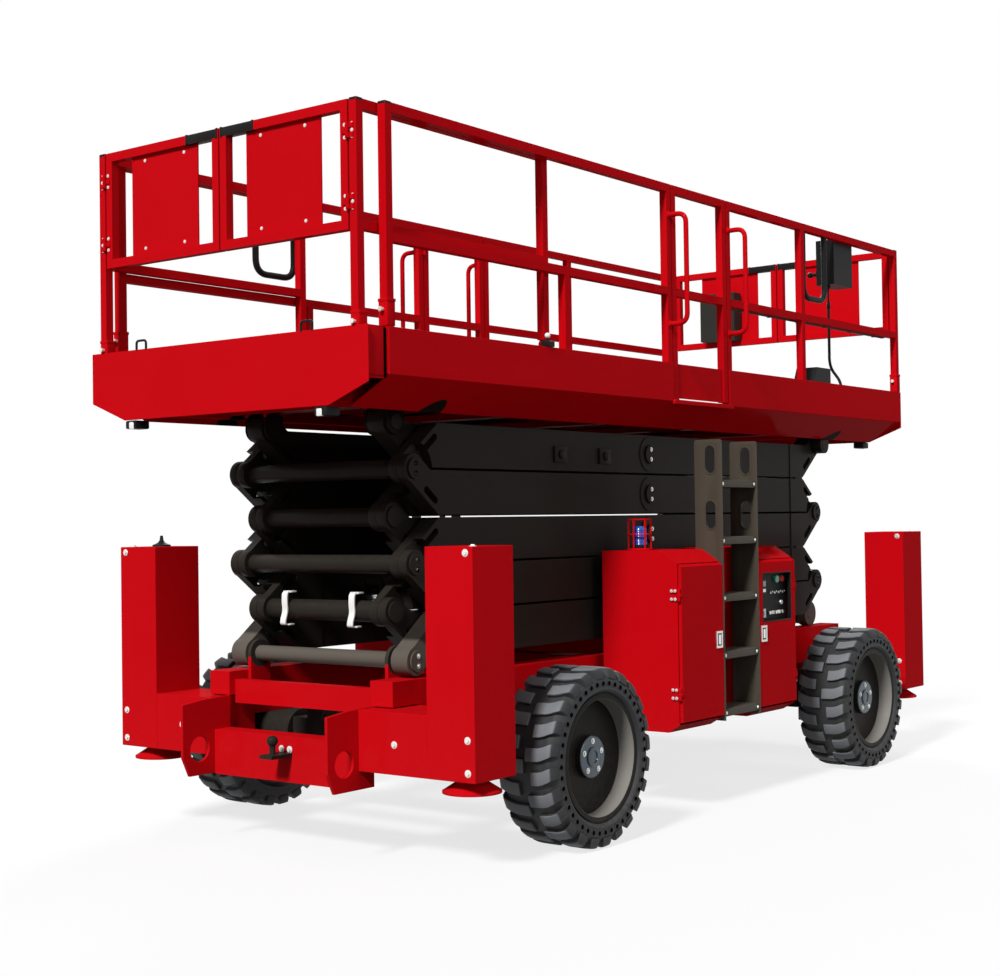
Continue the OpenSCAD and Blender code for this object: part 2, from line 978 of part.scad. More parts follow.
module side_rails() {
  xs = [-main_x + tube / 2, gate_x0, gate_x1, mid_post, deck_x - 26];
  z0 = floor_z + weld;
  color(red)
    both_sides() {
      for (x = xs)
        post(x, post_y, z0, guard_z);
      at_gate_hinges()
        hinge_fixed(30);
      at_leaf_hinges(deck_x - 26, post_y, 1)
        hinge_fixed(30);
      post(track_x, post_y, z0, mid_z - tube / 2 - weld);
      for (i = [0, 2, 3]) {
        rail_x(xs[i], xs[i + 1], post_y, guard_z);
        rail_x(xs[i], xs[i + 1], post_y, mid_z + tube / 2);
      }
    }
}

// The control box with the collar that its lead leaves from, the box on the toe board, and the
// lead's socket, which stands on the floor behind the toe board
module control_box() {
  color(black)
    mirror([0, 1, 0]) {
      box(ctl_x, ctl_x + ctl_l, panel_y - 118, panel_y - fit, ctl_z, guard_z - 25);
      cyl_z(lead_x, lead_y, lead_top + 40 + weld, ctl_z - weld, 6);
      translate([lead_x, lead_y, lead_top + weld])
        cylinder(h = 40 - weld, r1 = lead_r + 4, r2 = 8);
      translate([0, side_y, toe_z + weld])
        rotate([90, 0, 0])
          linear_extrude(height = side_y - lead_y + 25)
            polygon([[socket_x, 0], [socket_x + 40, 85], [socket_x + socket_l, 85], [socket_x + socket_l, 0]]);
      box(lead_x - 32, lead_x + 32, plug_y - 24, side_y - 6 - weld, floor_z + weld, plug_top - 30 - weld);
      cyl_z(lead_x, plug_y, plug_top - 30, plug_top - weld, lead_r + 5);
    }
}

// Way of the lead at one point of its route, which lies in a plane across the machine
function lead_way(i) =
  let (way = lead_route[min(i + 1, lead_rings - 1)] - lead_route[max(i - 1, 0)])
  way / norm(way);

// One ring of points round the lead
function lead_ring(i) = [
  for (k = [0:lead_sides - 1])
    let (across = lead_r * cos(360 * k / lead_sides), out = lead_r * sin(360 * k / lead_sides))
    [across, lead_route[i][0] - out * lead_way(i)[1], lead_route[i][1] + out * lead_way(i)[0]]
];

// The free lead, which hangs from the collar and curves out to its socket
module control_lead() {
  last = (lead_rings - 1) * lead_sides;
  skin = [
    for (i = [0:lead_rings - 2], k = [0:lead_sides - 1])
      let (a = i * lead_sides + k, b = i * lead_sides + (k + 1) % lead_sides)
      each [[a, b, b + lead_sides], [a, b + lead_sides, a + lead_sides]]
  ];
  caps = [[for (k = [lead_sides - 1:-1:0]) k], [for (k = [0:lead_sides - 1]) last + k]];
  color(black)
    mirror([0, 1, 0])
      translate([lead_x, lead_y, lead_top])
        polyhedron(points = [for (i = [0:lead_rings - 1]) each lead_ring(i)], faces = concat(skin, caps));
}

module document_box() {
  color(grey)
    box(deck_x - 144, deck_x - 46 - weld, 275, 540, mid_z + 53, guard_z - 170);
}

module loop(x0) {
  for (x = [x0 + loop_r, x0 + loop_l - loop_r]) {
    cyl_z(x, post_y, loop_z + loop_r, guard_z - tube - weld, loop_r);
    translate([x, post_y, loop_z + loop_r])
      sphere(r = loop_r + 0.6, $fn = 24);
  }
  translate([x0 + loop_r, post_y, loop_z + loop_r])
    rotate([0, 90, 0])
      cylinder(h = loop_l - 2 * loop_r, r = loop_r);
}

module rail_loops() {
  color(black) {
    mirror([0, 1, 0])
      loop(mid_post + tube / 2 + 4);
    loop(-deck_x + 999);
  }
}

module at_gate_hinges() {
  for (z = [toe_z + 120, guard_z - 150])
    translate([gate_x0 + tube / 2 + hinge_gap / 2, post_y - tube / 2 - hinge_r, z])
      mirror([0, 1, 0])
        children();
}

module gate() {
  at_gate_hinges()
    hinge_moving(30);
  x0 = gate_x0 + tube / 2 + hinge_gap;
  x1 = gate_x1 - tube / 2 - 8;
  for (x = [x0 + tube / 2, x1 - tube / 2])
    post(x, post_y, floor_z + 8, guard_z);
  box(x0 + 1, x1 - 1, post_y - tube / 2, post_y + tube / 2, guard_z - tube, guard_z);
  box(x0 + 1, x1 - 1, post_y - tube / 2, post_y + tube / 2, mid_z - tube / 2, mid_z + tube / 2);
  box(x0 + 1, x1 - 1, post_y + 4, post_y + 10, floor_z + 8, toe_z);
}

module gate_right() {
  color(red)
    mirror([0, 1, 0])
      gate();
}

module gate_left() {
  color(red)
    gate();
}

// Hinges of an end leaf, on the face that points out of the platform
module at_leaf_hinges(x, y_post, out) {
  for (z = [mid_z + 130, guard_z - 130])
    translate([x + out * (tube / 2 + hinge_r), y_post - tube / 2 - hinge_gap / 2, z])
      mirror([out < 0 ? 1 : 0, 0, 0])
        rotate(-90)
          children();
}

// A leaf of an end rail, reaching from its hinge stile to the middle
module leaf(x, y_post, out) {
  at_leaf_hinges(x, y_post, out)
    hinge_moving(30);
  y1 = y_post - tube / 2 - hinge_gap;
  z0 = mid_z + 20;
  for (y = [y1 - tube / 2, 4 + tube / 2])
    post(x, y, z0, guard_z);
  box(x - tube / 2, x + tube / 2, 5, y1 - 1, guard_z - tube, guard_z);
  box(x - tube / 2, x + tube / 2, 5, y1 - 1, z0, z0 + tube);
  box(x - 3, x + 3, 152, 590, z0 + tube + weld, guard_z - tube - weld);
}

module front_leaf_right() {
  color(red)
    mirror([0, 1, 0])
      leaf(deck_x - 26, post_y, 1);
}

module front_leaf_left() {
  color(red)
    leaf(deck_x - 26, post_y, 1);
}

module rear_leaf_right() {
  color(red)
    mirror([0, 1, 0])
      leaf(-deck_x + 26, ext_y, -1);
}

module rear_leaf_left() {
  color(red)
    leaf(-deck_x + 26, ext_y, -1);
}

module ext_deck() {
  color(red) {
    plate_yz(-deck_x, -deck_x + 6)
      end_shape();
    box(-deck_x + 5, ext_x, -beam_out + 20, beam_out - 20, beam_top + fit, beam_top + 40);
  }
}

module ext_rails() {
  color(red)
    both_sides() {
      at_leaf_hinges(-deck_x + 26, ext_y, -1)
        hinge_fixed(30);
      post(ext_x0, ext_y, beam_top + 50, guard_z);
      post(ext_x, ext_y, toe_z + 40, guard_z);
      rail_x(ext_x0, ext_x, ext_y, guard_z);
      rail_x(ext_x0, ext_x, ext_y, mid_z + 60);
      cyl_y(ext_x, ext_y - 15, ext_y + 15, toe_z + 20 + fit, 20);
    }
}

chassis_frame();
outrigger_housings();
tow_ball();
rear_axle();
steer_axle();
cabinets();
engine_block();
ladders();
control_panel();
beacon();
beacon_guard();
door_rear_right();
door_front_right();
door_rear_left();
door_front_left();
knuckle_right();
knuckle_left();
tyre_rear_right();
tyre_rear_left();
tyre_front_right();
tyre_front_left();
rim_rear_right();
rim_rear_left();
rim_front_right();
rim_front_left();
leg_rear_right();
leg_rear_left();
leg_front_right();
leg_front_left();
outer_arms_1();
outer_arms_2();
outer_arms_3();
outer_arms_4();
outer_arms_5();
inner_arms_1();
inner_arms_2();
inner_arms_3();
inner_arms_4();
inner_arms_5();
lift_barrels();
lift_rods();
hose_clips();
deck_frame();
side_rails();
grab_handles();
control_box();
control_lead();
document_box();
rail_loops();
gate_right();
gate_left();
front_leaf_right();
front_leaf_left();
ext_deck();
ext_rails();
rear_leaf_right();
rear_leaf_left();
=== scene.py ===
# %% [markdown]
# # A rough-terrain scissor lift
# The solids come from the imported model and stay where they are. This file gives each of them its
# finish and adds what is too small or too finely bent for them: bolts, latches, lamps, tubes and treads.
# Loading the frame first means every later piece can take its place from a solid's own box.

# %% Load the frame
import math

import bmesh
import bpy
from mathutils import Matrix, Vector


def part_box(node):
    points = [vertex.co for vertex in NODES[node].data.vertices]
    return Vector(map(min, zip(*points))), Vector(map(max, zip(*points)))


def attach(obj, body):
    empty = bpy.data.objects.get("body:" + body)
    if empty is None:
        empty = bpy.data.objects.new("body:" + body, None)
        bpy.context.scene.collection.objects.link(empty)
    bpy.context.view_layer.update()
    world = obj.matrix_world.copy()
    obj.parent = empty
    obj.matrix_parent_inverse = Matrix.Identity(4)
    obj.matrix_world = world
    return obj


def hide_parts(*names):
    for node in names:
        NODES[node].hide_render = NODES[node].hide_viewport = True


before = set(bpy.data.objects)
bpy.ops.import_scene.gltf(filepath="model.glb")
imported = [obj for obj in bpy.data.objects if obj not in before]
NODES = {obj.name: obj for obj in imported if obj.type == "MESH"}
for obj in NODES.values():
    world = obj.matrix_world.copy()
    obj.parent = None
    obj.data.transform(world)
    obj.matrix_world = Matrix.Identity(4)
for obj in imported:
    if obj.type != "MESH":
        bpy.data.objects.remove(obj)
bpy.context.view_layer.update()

# %% [markdown]
# The camera stands at the tow-ball end, to the machine's right, at eye height. Its place, lens and
# small roll were worked out from the straight edges of the photograph, so nothing is tuned by eye.

# %% Camera
CAMERA_AT = Vector((-7.337, -5.189, 1.455))
CAMERA_YAW = math.radians(37.58)
CAMERA_PITCH = math.radians(1.14)
CAMERA_ROLL = math.radians(-0.81)
LENS_MM = 58.5
VIEW_END_M = 200

ahead = Vector((math.cos(CAMERA_YAW) * math.cos(CAMERA_PITCH),
                math.sin(CAMERA_YAW) * math.cos(CAMERA_PITCH), math.sin(CAMERA_PITCH)))
level_right = Vector((math.sin(CAMERA_YAW), -math.cos(CAMERA_YAW), 0))
level_up = level_right.cross(ahead)
right = level_right * math.cos(CAMERA_ROLL) + level_up * math.sin(CAMERA_ROLL)
up = level_up * math.cos(CAMERA_ROLL) - level_right * math.sin(CAMERA_ROLL)
camera_data = bpy.data.cameras.new("camera")
camera_data.lens = LENS_MM
camera_data.clip_end = VIEW_END_M
camera = bpy.data.objects.new("camera", camera_data)
camera.matrix_world = Matrix(((right.x, up.x, -ahead.x, CAMERA_AT.x),
                              (right.y, up.y, -ahead.y, CAMERA_AT.y),
                              (right.z, up.z, -ahead.z, CAMERA_AT.z), (0, 0, 0, 1)))
bpy.context.scene.collection.objects.link(camera)
bpy.context.scene.camera = camera
print("camera at", [round(v, 2) for v in CAMERA_AT])

# %% [markdown]
# The photograph is lit by a high sun from the tow-ball end: all end faces are equally bright, long
# sides are darker, and the arms lie in the platform's shadow. A soft sun lamp gives that over the
# whole length, where a near lamp would fall off. A weak fill keeps the right side readable.
# The floor shows white to the camera and fades to plain white further out, so there is no horizon.
# Light that bounces sees a darker floor, or the machine's underside would glow.

# %% Stage and lights
scene = bpy.context.scene
scene.view_settings.view_transform = "Standard"


def hang_lamp(name, data, at, aim):
    lamp = bpy.data.objects.new(name, data)
    lamp.location = at
    lamp.rotation_euler = (Vector(aim) - Vector(at)).to_track_quat("-Z", "Y").to_euler()
    scene.collection.objects.link(lamp)


def area_lamp(name, at, aim, size, watts):
    data = bpy.data.lights.new(name, "AREA")
    data.shape = "DISK"
    data.size = size
    data.energy = watts
    hang_lamp(name, data, at, aim)


def sun_lamp(name, source, spread_deg, strength):
    data = bpy.data.lights.new(name, "SUN")
    data.angle = math.radians(spread_deg)
    data.energy = strength
    hang_lamp(name, data, source, (0, 0, 0))


SUN_FROM = (-8.0, -1.5, 7.0)
SUN_SPREAD_DEG = 10
SUN_STRENGTH = 3.7
FILL_WATTS = 195
BACK_WATTS = 650
sun_lamp("key", SUN_FROM, SUN_SPREAD_DEG, SUN_STRENGTH)
area_lamp("fill", (-2.0, -11.0, 5.0), (0, 0, 1.4), 6.0, FILL_WATTS)
area_lamp("back", (8.0, 6.0, 7.0), (0, 0, 1.5), 5.0, BACK_WATTS)

ROOM_STRENGTH = 0.24
FLOOR_HALF = 60
GROUND_Z = -0.001
FLOOR_TONE = 0.86
BOUNCE_TONE = 0.14
FLOOR_GLOW = 0.76
FLOOR_FADE = (3.5, 8.0)


def backdrop_nodes(tree, shader, plain, output, share):
    """Camera, glossy and transmission rays see a share of the plain tone; other rays see the shader."""
    path = tree.nodes.new("ShaderNodeLightPath")
    total = path.outputs["Is Camera Ray"]
    for ray in ("Is Glossy Ray", "Is Transmission Ray"):
        either = tree.nodes.new("ShaderNodeMath")
        either.operation = "MAXIMUM"
        tree.links.new(total, either.inputs[0])
        tree.links.new(path.outputs[ray], either.inputs[1])
        total = either.outputs[0]
    part = tree.nodes.new("ShaderNodeMath")
    part.operation = "MULTIPLY"
    tree.links.new(total, part.inputs[0])
    if isinstance(share, float):
        part.inputs[1].default_value = share
    else:
        tree.links.new(share, part.inputs[1])
    mix = tree.nodes.new("ShaderNodeMixShader")
    tree.links.new(part.outputs[0], mix.inputs[0])
    tree.links.new(shader, mix.inputs[1])
    tree.links.new(plain, mix.inputs[2])
    tree.links.new(mix.outputs[0], output)


world = bpy.data.worlds.new("pale_room")
scene.world = world
world.use_nodes = True
room = world.node_tree.nodes["Background"]
room.inputs["Color"].default_value = (0.95, 0.97, 1.0, 1)
room.inputs["Strength"].default_value = ROOM_STRENGTH
white = world.node_tree.nodes.new("ShaderNodeBackground")
white.inputs["Color"].default_value = (1, 1, 1, 1)
backdrop_nodes(world.node_tree, room.outputs[0], white.outputs[0],
               world.node_tree.nodes["World Output"].inputs["Surface"], 1.0)

floor_mesh = bpy.data.meshes.new("floor")
floor_corners = [(FLOOR_HALF * x, FLOOR_HALF * y, GROUND_Z) for x, y in ((-1, -1), (1, -1), (1, 1), (-1, 1))]
floor_mesh.from_pydata(floor_corners, [], [(0, 1, 2, 3)])
floor = bpy.data.objects.new("floor", floor_mesh)
scene.collection.objects.link(floor)
floor_finish = bpy.data.materials.new("pale_floor")
floor_finish.use_nodes = True
tree = floor_finish.node_tree
matt = tree.nodes["Principled BSDF"]
matt.inputs["Roughness"].default_value = 0.9
bounce = tree.nodes.new("ShaderNodeLightPath")
tone = tree.nodes.new("ShaderNodeMix")
tone.data_type = "RGBA"
tone.inputs["A"].default_value = (FLOOR_TONE, FLOOR_TONE, FLOOR_TONE, 1)
tone.inputs["B"].default_value = (BOUNCE_TONE, BOUNCE_TONE, BOUNCE_TONE, 1)
tree.links.new(bounce.outputs["Is Diffuse Ray"], tone.inputs["Factor"])
tree.links.new(tone.outputs["Result"], matt.inputs["Base Color"])
place = tree.nodes.new("ShaderNodeTexCoord")
reach = tree.nodes.new("ShaderNodeVectorMath")
reach.operation = "LENGTH"
tree.links.new(place.outputs["Object"], reach.inputs[0])
fade = tree.nodes.new("ShaderNodeMapRange")
fade.inputs["From Min"].default_value, fade.inputs["From Max"].default_value = FLOOR_FADE
fade.inputs["To Min"].default_value = FLOOR_GLOW
fade.inputs["To Max"].default_value = 1.0
tree.links.new(reach.outputs["Value"], fade.inputs["Value"])
glow = tree.nodes.new("ShaderNodeEmission")
glow.inputs["Color"].default_value = (1, 1, 1, 1)
backdrop_nodes(tree, matt.outputs[0], glow.outputs[0], tree.nodes["Material Output"].inputs["Surface"],
               fade.outputs["Result"])
floor_mesh.materials.append(floor_finish)

# %% [markdown]
# Two effects serve several finishes, so each is one node group. "soft_blotches" makes a slow change
# of tone over a panel and a thin film of dust that gathers low down and on faces that look up.
# "fine_skin" is the small relief of sprayed paint or moulded plastic, as a height for a Bump node.

# %% Shared shader groups


def new_group(name, inputs, outputs):
    tree = bpy.data.node_groups.new(name, "ShaderNodeTree")
    for label, kind, value in inputs:
        socket = tree.interface.new_socket(label, in_out="INPUT", socket_type=kind)
        socket.default_value = value
    for label, kind in outputs:
        tree.interface.new_socket(label, in_out="OUTPUT", socket_type=kind)
    start = tree.nodes.new("NodeGroupInput")
    end = tree.nodes.new("NodeGroupOutput")
    return tree, start, end


def math_node(tree, operation, first, second=None, clamp=False):
    node = tree.nodes.new("ShaderNodeMath")
    node.operation = operation
    node.use_clamp = clamp
    for place, value in enumerate((first, second)):
        if value is None:
            continue
        if isinstance(value, (int, float)):
            node.inputs[place].default_value = value
        else:
            tree.links.new(value, node.inputs[place])
    return node.outputs[0]


SPECK_SCALE = 34
UPWARD_DUST = 0.6
GRAIN_FLOOR = 0.32
GRAIN_GAIN = 2.6
BLOTCHES, start, end = new_group(
    "soft_blotches",
    [("Patch Size", "NodeSocketFloat", 2.0), ("Dust", "NodeSocketFloat", 0.2),
     ("Dust Height", "NodeSocketFloat", 0.8)],
    [("Tone", "NodeSocketFloat"), ("Dust Mask", "NodeSocketFloat")])
place = BLOTCHES.nodes.new("ShaderNodeTexCoord")
patch = BLOTCHES.nodes.new("ShaderNodeTexNoise")
patch.inputs["Detail"].default_value = 5
BLOTCHES.links.new(place.outputs["Object"], patch.inputs["Vector"])
BLOTCHES.links.new(start.outputs["Patch Size"], patch.inputs["Scale"])
BLOTCHES.links.new(patch.outputs["Fac"], end.inputs["Tone"])
speck = BLOTCHES.nodes.new("ShaderNodeTexNoise")
speck.inputs["Scale"].default_value = SPECK_SCALE
speck.inputs["Detail"].default_value = 8
speck.inputs["Roughness"].default_value = 0.7
BLOTCHES.links.new(place.outputs["Object"], speck.inputs["Vector"])
split = BLOTCHES.nodes.new("ShaderNodeSeparateXYZ")
BLOTCHES.links.new(place.outputs["Object"], split.inputs[0])
low = math_node(BLOTCHES, "SUBTRACT", 1.0,
                math_node(BLOTCHES, "DIVIDE", split.outputs["Z"], start.outputs["Dust Height"]), True)
shape = BLOTCHES.nodes.new("ShaderNodeNewGeometry")
facing = BLOTCHES.nodes.new("ShaderNodeSeparateXYZ")
BLOTCHES.links.new(shape.outputs["Normal"], facing.inputs[0])
upward = math_node(BLOTCHES, "MULTIPLY", math_node(BLOTCHES, "MAXIMUM", facing.outputs["Z"], 0.0),
                   UPWARD_DUST)
settle = math_node(BLOTCHES, "MAXIMUM", low, upward)
grain = math_node(BLOTCHES, "MULTIPLY",
                  math_node(BLOTCHES, "SUBTRACT", speck.outputs["Fac"], GRAIN_FLOOR, True), GRAIN_GAIN)
film = math_node(BLOTCHES, "MULTIPLY", settle, grain)
BLOTCHES.links.new(math_node(BLOTCHES, "MULTIPLY", film, start.outputs["Dust"], True),
                   end.inputs["Dust Mask"])

SKIN, start, end = new_group(
    "fine_skin", [("Size", "NodeSocketFloat", 300.0), ("Roughness", "NodeSocketFloat", 0.5)],
    [("Height", "NodeSocketFloat")])
place = SKIN.nodes.new("ShaderNodeTexCoord")
relief = SKIN.nodes.new("ShaderNodeTexNoise")
relief.inputs["Detail"].default_value = 3
SKIN.links.new(place.outputs["Object"], relief.inputs["Vector"])
SKIN.links.new(start.outputs["Size"], relief.inputs["Scale"])
SKIN.links.new(start.outputs["Roughness"], relief.inputs["Roughness"])
SKIN.links.new(relief.outputs["Fac"], end.inputs["Height"])
print("shader groups:", BLOTCHES.name, SKIN.name)

# %% [markdown]
# Each finish is one Principled shader. Its colour wanders a little with the blotches, the dust film
# makes it paler and duller, and the skin relief breaks up the reflections. Gloss, coat and metal are
# plain numbers on the shader's own sockets.

# %% Finishes
DUST_COLOUR = (0.30, 0.27, 0.23)
DUST_DULLS = 0.35
SKIN_DEPTH = 0.002
COAT_ROUGH = 0.12


def finish(name, colour, rough, metal=0.0, coat=0.0, dust=0.15, spread=0.12, patch=2.0, skin=300.0,
           bump=0.03, dust_height=0.8, specular=0.5):
    material = bpy.data.materials.new(name)
    material.use_nodes = True
    tree = material.node_tree
    shader = tree.nodes["Principled BSDF"]
    blotches = tree.nodes.new("ShaderNodeGroup")
    blotches.node_tree = BLOTCHES
    blotches.inputs["Patch Size"].default_value = patch
    blotches.inputs["Dust"].default_value = dust
    blotches.inputs["Dust Height"].default_value = dust_height
    tone = tree.nodes.new("ShaderNodeMix")
    tone.data_type = "RGBA"
    tone.inputs["A"].default_value = (*[c * (1 - spread) for c in colour], 1)
    tone.inputs["B"].default_value = (*[min(1, c * (1 + spread)) for c in colour], 1)
    tree.links.new(blotches.outputs["Tone"], tone.inputs["Factor"])
    dusty = tree.nodes.new("ShaderNodeMix")
    dusty.data_type = "RGBA"
    dusty.inputs["B"].default_value = (*DUST_COLOUR, 1)
    tree.links.new(blotches.outputs["Dust Mask"], dusty.inputs["Factor"])
    tree.links.new(tone.outputs["Result"], dusty.inputs["A"])
    tree.links.new(dusty.outputs["Result"], shader.inputs["Base Color"])
    dull = tree.nodes.new("ShaderNodeMapRange")
    dull.inputs["To Min"].default_value = rough
    dull.inputs["To Max"].default_value = min(1, rough + DUST_DULLS)
    tree.links.new(blotches.outputs["Dust Mask"], dull.inputs["Value"])
    tree.links.new(dull.outputs["Result"], shader.inputs["Roughness"])
    skin_group = tree.nodes.new("ShaderNodeGroup")
    skin_group.node_tree = SKIN
    skin_group.inputs["Size"].default_value = skin
    relief = tree.nodes.new("ShaderNodeBump")
    relief.inputs["Strength"].default_value = bump
    relief.inputs["Distance"].default_value = SKIN_DEPTH
    tree.links.new(skin_group.outputs["Height"], relief.inputs["Height"])
    tree.links.new(relief.outputs["Normal"], shader.inputs["Normal"])
    shader.inputs["Metallic"].default_value = metal
    shader.inputs["Coat Weight"].default_value = coat
    shader.inputs["Coat Roughness"].default_value = COAT_ROUGH
    shader.inputs["Specular IOR Level"].default_value = specular
    return material


RED_LOOK = dict(colour=(0.52, 0.0025, 0.006), rough=0.40, coat=0.03, dust=0.02, spread=0.06, skin=260,
                specular=0.0)
BLACK_LOOK = dict(colour=(0.020, 0.017, 0.014), rough=0.38, coat=0.02, dust=0.06, spread=0.25,
                  dust_height=1.0, specular=0.03)
RED = finish("red_gloss_paint", **RED_LOOK)
RED_BASE = finish("red_base_paint", **RED_LOOK)
# The deck's red paint; round the highest arm pins it also carries painted shade, added below.
RED_DECK_WITH_PAINTED_SHADE = finish("red_deck_paint_with_painted_shade", **RED_LOOK)
BLACK = finish("black_arm_paint", **BLACK_LOOK)
WORN_BLACK = finish("worn_lower_arm_paint", **BLACK_LOOK)
GREY = finish("ladder_grey_paint", (0.062, 0.051, 0.038), 0.5, dust=0.15, spread=0.15, specular=0.12)
RUBBER = finish("tyre_rubber", (0.018, 0.019, 0.021), 0.62, dust=0.16, spread=0.25, skin=90, bump=0.12,
                dust_height=0.55, specular=0.3)
RIM = finish("rim_paint", (0.012, 0.011, 0.010), 0.42, dust=0.12, spread=0.2, dust_height=0.6,
             specular=0.06)
CHROME = finish("plated_rod", (0.72, 0.72, 0.74), 0.14, metal=1.0, dust=0.0, spread=0.03)
ZINC = finish("zinc_bolts", (0.62, 0.61, 0.58), 0.34, metal=1.0, dust=0.05, spread=0.1, skin=500)
WHITE = finish("white_plastic", (0.82, 0.82, 0.80), 0.45, dust=0.04, spread=0.03)
PLASTIC = finish("black_plastic", (0.009, 0.009, 0.009), 0.48, dust=0.03, spread=0.1, skin=700, bump=0.08,
                 specular=0.08)
# Near-black without reflection: the real black rubber lip of the end folds, and painted shade in place of the
# tyre's sidewall holes.
BLACK_RUBBER_AND_PAINTED_HOLE_SHADE = finish("deep_rubber_and_painted_hole_shade", (0.0025, 0.0025, 0.0025), 0.85, dust=0.01, spread=0.1, specular=0.0)
HUB = finish("hub_blue_steel", (0.035, 0.06, 0.08), 0.30, metal=0.5, coat=0.3, dust=0.1, spread=0.2)
WHITE_CAP = finish("bright_bolt_plating", (0.80, 0.79, 0.76), 0.32, metal=0.35, dust=0.05, spread=0.06)
TREAD_STEEL = finish("floor_chequer_steel", (0.20, 0.20, 0.20), 0.42, metal=0.75, dust=0.25, spread=0.2,
                     dust_height=2.3)
GLASSY = finish("dark_screen", (0.012, 0.014, 0.017), 0.10, coat=0.6, dust=0.02, spread=0.05)
GREEN = finish("green_button", (0.01, 0.30, 0.16), 0.30, coat=0.3, dust=0.02, spread=0.05)
STOP_RED = finish("stop_button", (0.55, 0.012, 0.012), 0.28, coat=0.3, dust=0.02, spread=0.05)
BLUE = finish("blue_lens", (0.012, 0.07, 0.42), 0.16, coat=0.7, dust=0.02, spread=0.15)
BOX_GREY = finish("dark_grey_plastic", (0.026, 0.025, 0.022), 0.5, dust=0.05, spread=0.1, skin=700,
                  specular=0.08)
print("finishes:", len([m for m in bpy.data.materials if m.use_nodes]))

# %% [markdown]
# Some pieces show two colours, and the border follows a round form: the rim's pale barrel, the worn grey
# crowns of the lugs, a darker patch round the lowest arm pin, and painted shade round the highest arm pin,
# where the deck frame's lower brackets lie in shadow. A group measures the distance from an axis that runs
# across the machine, at both ends alike. Each material turns that distance into its own ring-shaped mask, so
# no extra pieces are needed.

# %% Two-tone finishes and painted shade
AXIS, start, end = new_group(
    "axis_distance", [("Middle X", "NodeSocketFloat", 0.0), ("Reach X", "NodeSocketFloat", 1.0),
                      ("Height", "NodeSocketFloat", 0.5)], [("Distance", "NodeSocketFloat")])
place = AXIS.nodes.new("ShaderNodeTexCoord")
split = AXIS.nodes.new("ShaderNodeSeparateXYZ")
AXIS.links.new(place.outputs["Object"], split.inputs[0])
from_middle = math_node(AXIS, "ABSOLUTE", math_node(AXIS, "SUBTRACT", split.outputs["X"],
                                                    start.outputs["Middle X"]))
fore = math_node(AXIS, "SUBTRACT", from_middle, start.outputs["Reach X"])
high = math_node(AXIS, "SUBTRACT", split.outputs["Z"], start.outputs["Height"])
square = math_node(AXIS, "ADD", math_node(AXIS, "MULTIPLY", fore, fore),
                   math_node(AXIS, "MULTIPLY", high, high))
AXIS.links.new(math_node(AXIS, "SQRT", square), end.inputs["Distance"])


def two_tone_and_painted_shade(material, colour, middle, reach, height, inner, outer, sharp=900.0):
    """A second colour between two distances from the axis, for real second colours and for painted shade."""
    tree = material.node_tree
    axis = tree.nodes.new("ShaderNodeGroup")
    axis.node_tree = AXIS
    axis.inputs["Middle X"].default_value = middle
    axis.inputs["Reach X"].default_value = reach
    axis.inputs["Height"].default_value = height
    away = axis.outputs["Distance"]
    past = math_node(tree, "MULTIPLY", math_node(tree, "SUBTRACT", away, inner), sharp, True)
    within = math_node(tree, "MULTIPLY", math_node(tree, "SUBTRACT", outer, away), sharp, True)
    mix = tree.nodes.new("ShaderNodeMix")
    mix.data_type = "RGBA"
    mix.inputs["B"].default_value = (*colour, 1)
    shader = tree.nodes["Principled BSDF"]
    tree.links.new(shader.inputs["Base Color"].links[0].from_socket, mix.inputs["A"])
    tree.links.new(math_node(tree, "MULTIPLY", past, within), mix.inputs["Factor"])
    tree.links.new(mix.outputs["Result"], shader.inputs["Base Color"])


BASE_X = 0.035
AXLE_REACH = 1.399
PIN_X = 1.924
LOW_PIN_Z = 0.845
HIGH_PIN_Z = 1.900
WHEEL_R = 0.400
two_tone_and_painted_shade(RIM, (0.20, 0.19, 0.17), BASE_X, AXLE_REACH, WHEEL_R, 0.2560, 0.2605)
two_tone_and_painted_shade(RUBBER, (0.150, 0.158, 0.168), BASE_X, AXLE_REACH, WHEEL_R, 0.3915, 0.4200, 250.0)
two_tone_and_painted_shade(WORN_BLACK, (0.105, 0.092, 0.076), 0.0, PIN_X, LOW_PIN_Z, -1.0, 0.100, 60.0)
two_tone_and_painted_shade(RED_BASE, (0.040, 0.034, 0.028), 0.0, PIN_X, LOW_PIN_Z, -1.0, 0.0662)
# Painted shade: the deck frame is near-black within 80 mm of the highest arm pins, where its lower brackets
# lie in shadow.
two_tone_and_painted_shade(RED_DECK_WITH_PAINTED_SHADE, (0.016, 0.012, 0.010), 0.0, PIN_X, HIGH_PIN_Z, -1.0, 0.080)
print("two-tone finishes: 5")

# %% [markdown]
# The solids keep their meshes. Each gets its finish by name, and a weld with a small bevel as live
# modifiers, because a real folded or welded edge is never razor sharp and catches a line of light.

# %% Dress the solids
FINISH_BY_NAME = (("tyre", RUBBER), ("rim", RIM), ("chassis_frame", RED_BASE), ("deck_frame", RED_DECK_WITH_PAINTED_SHADE),
                  ("outer_arms_1", WORN_BLACK), ("inner_arms_1", WORN_BLACK),
                  ("outer_arms", BLACK), ("inner_arms", BLACK), ("control_lead", PLASTIC),
                  ("lift_barrels", BLACK), ("lift_rods", CHROME), ("hose_clips", WHITE),
                  ("ladders", GREY), ("tow_ball", BLACK), ("knuckle", BLACK), ("rear_axle", BLACK),
                  ("steer_axle", BLACK), ("engine", GREY), ("control_box", PLASTIC),
                  ("control_panel", PLASTIC), ("rail_loops", PLASTIC), ("document", BOX_GREY))
EDGE_M = 0.0022
EDGE_ANGLE_DEG = 38
WELD_M = 0.00002


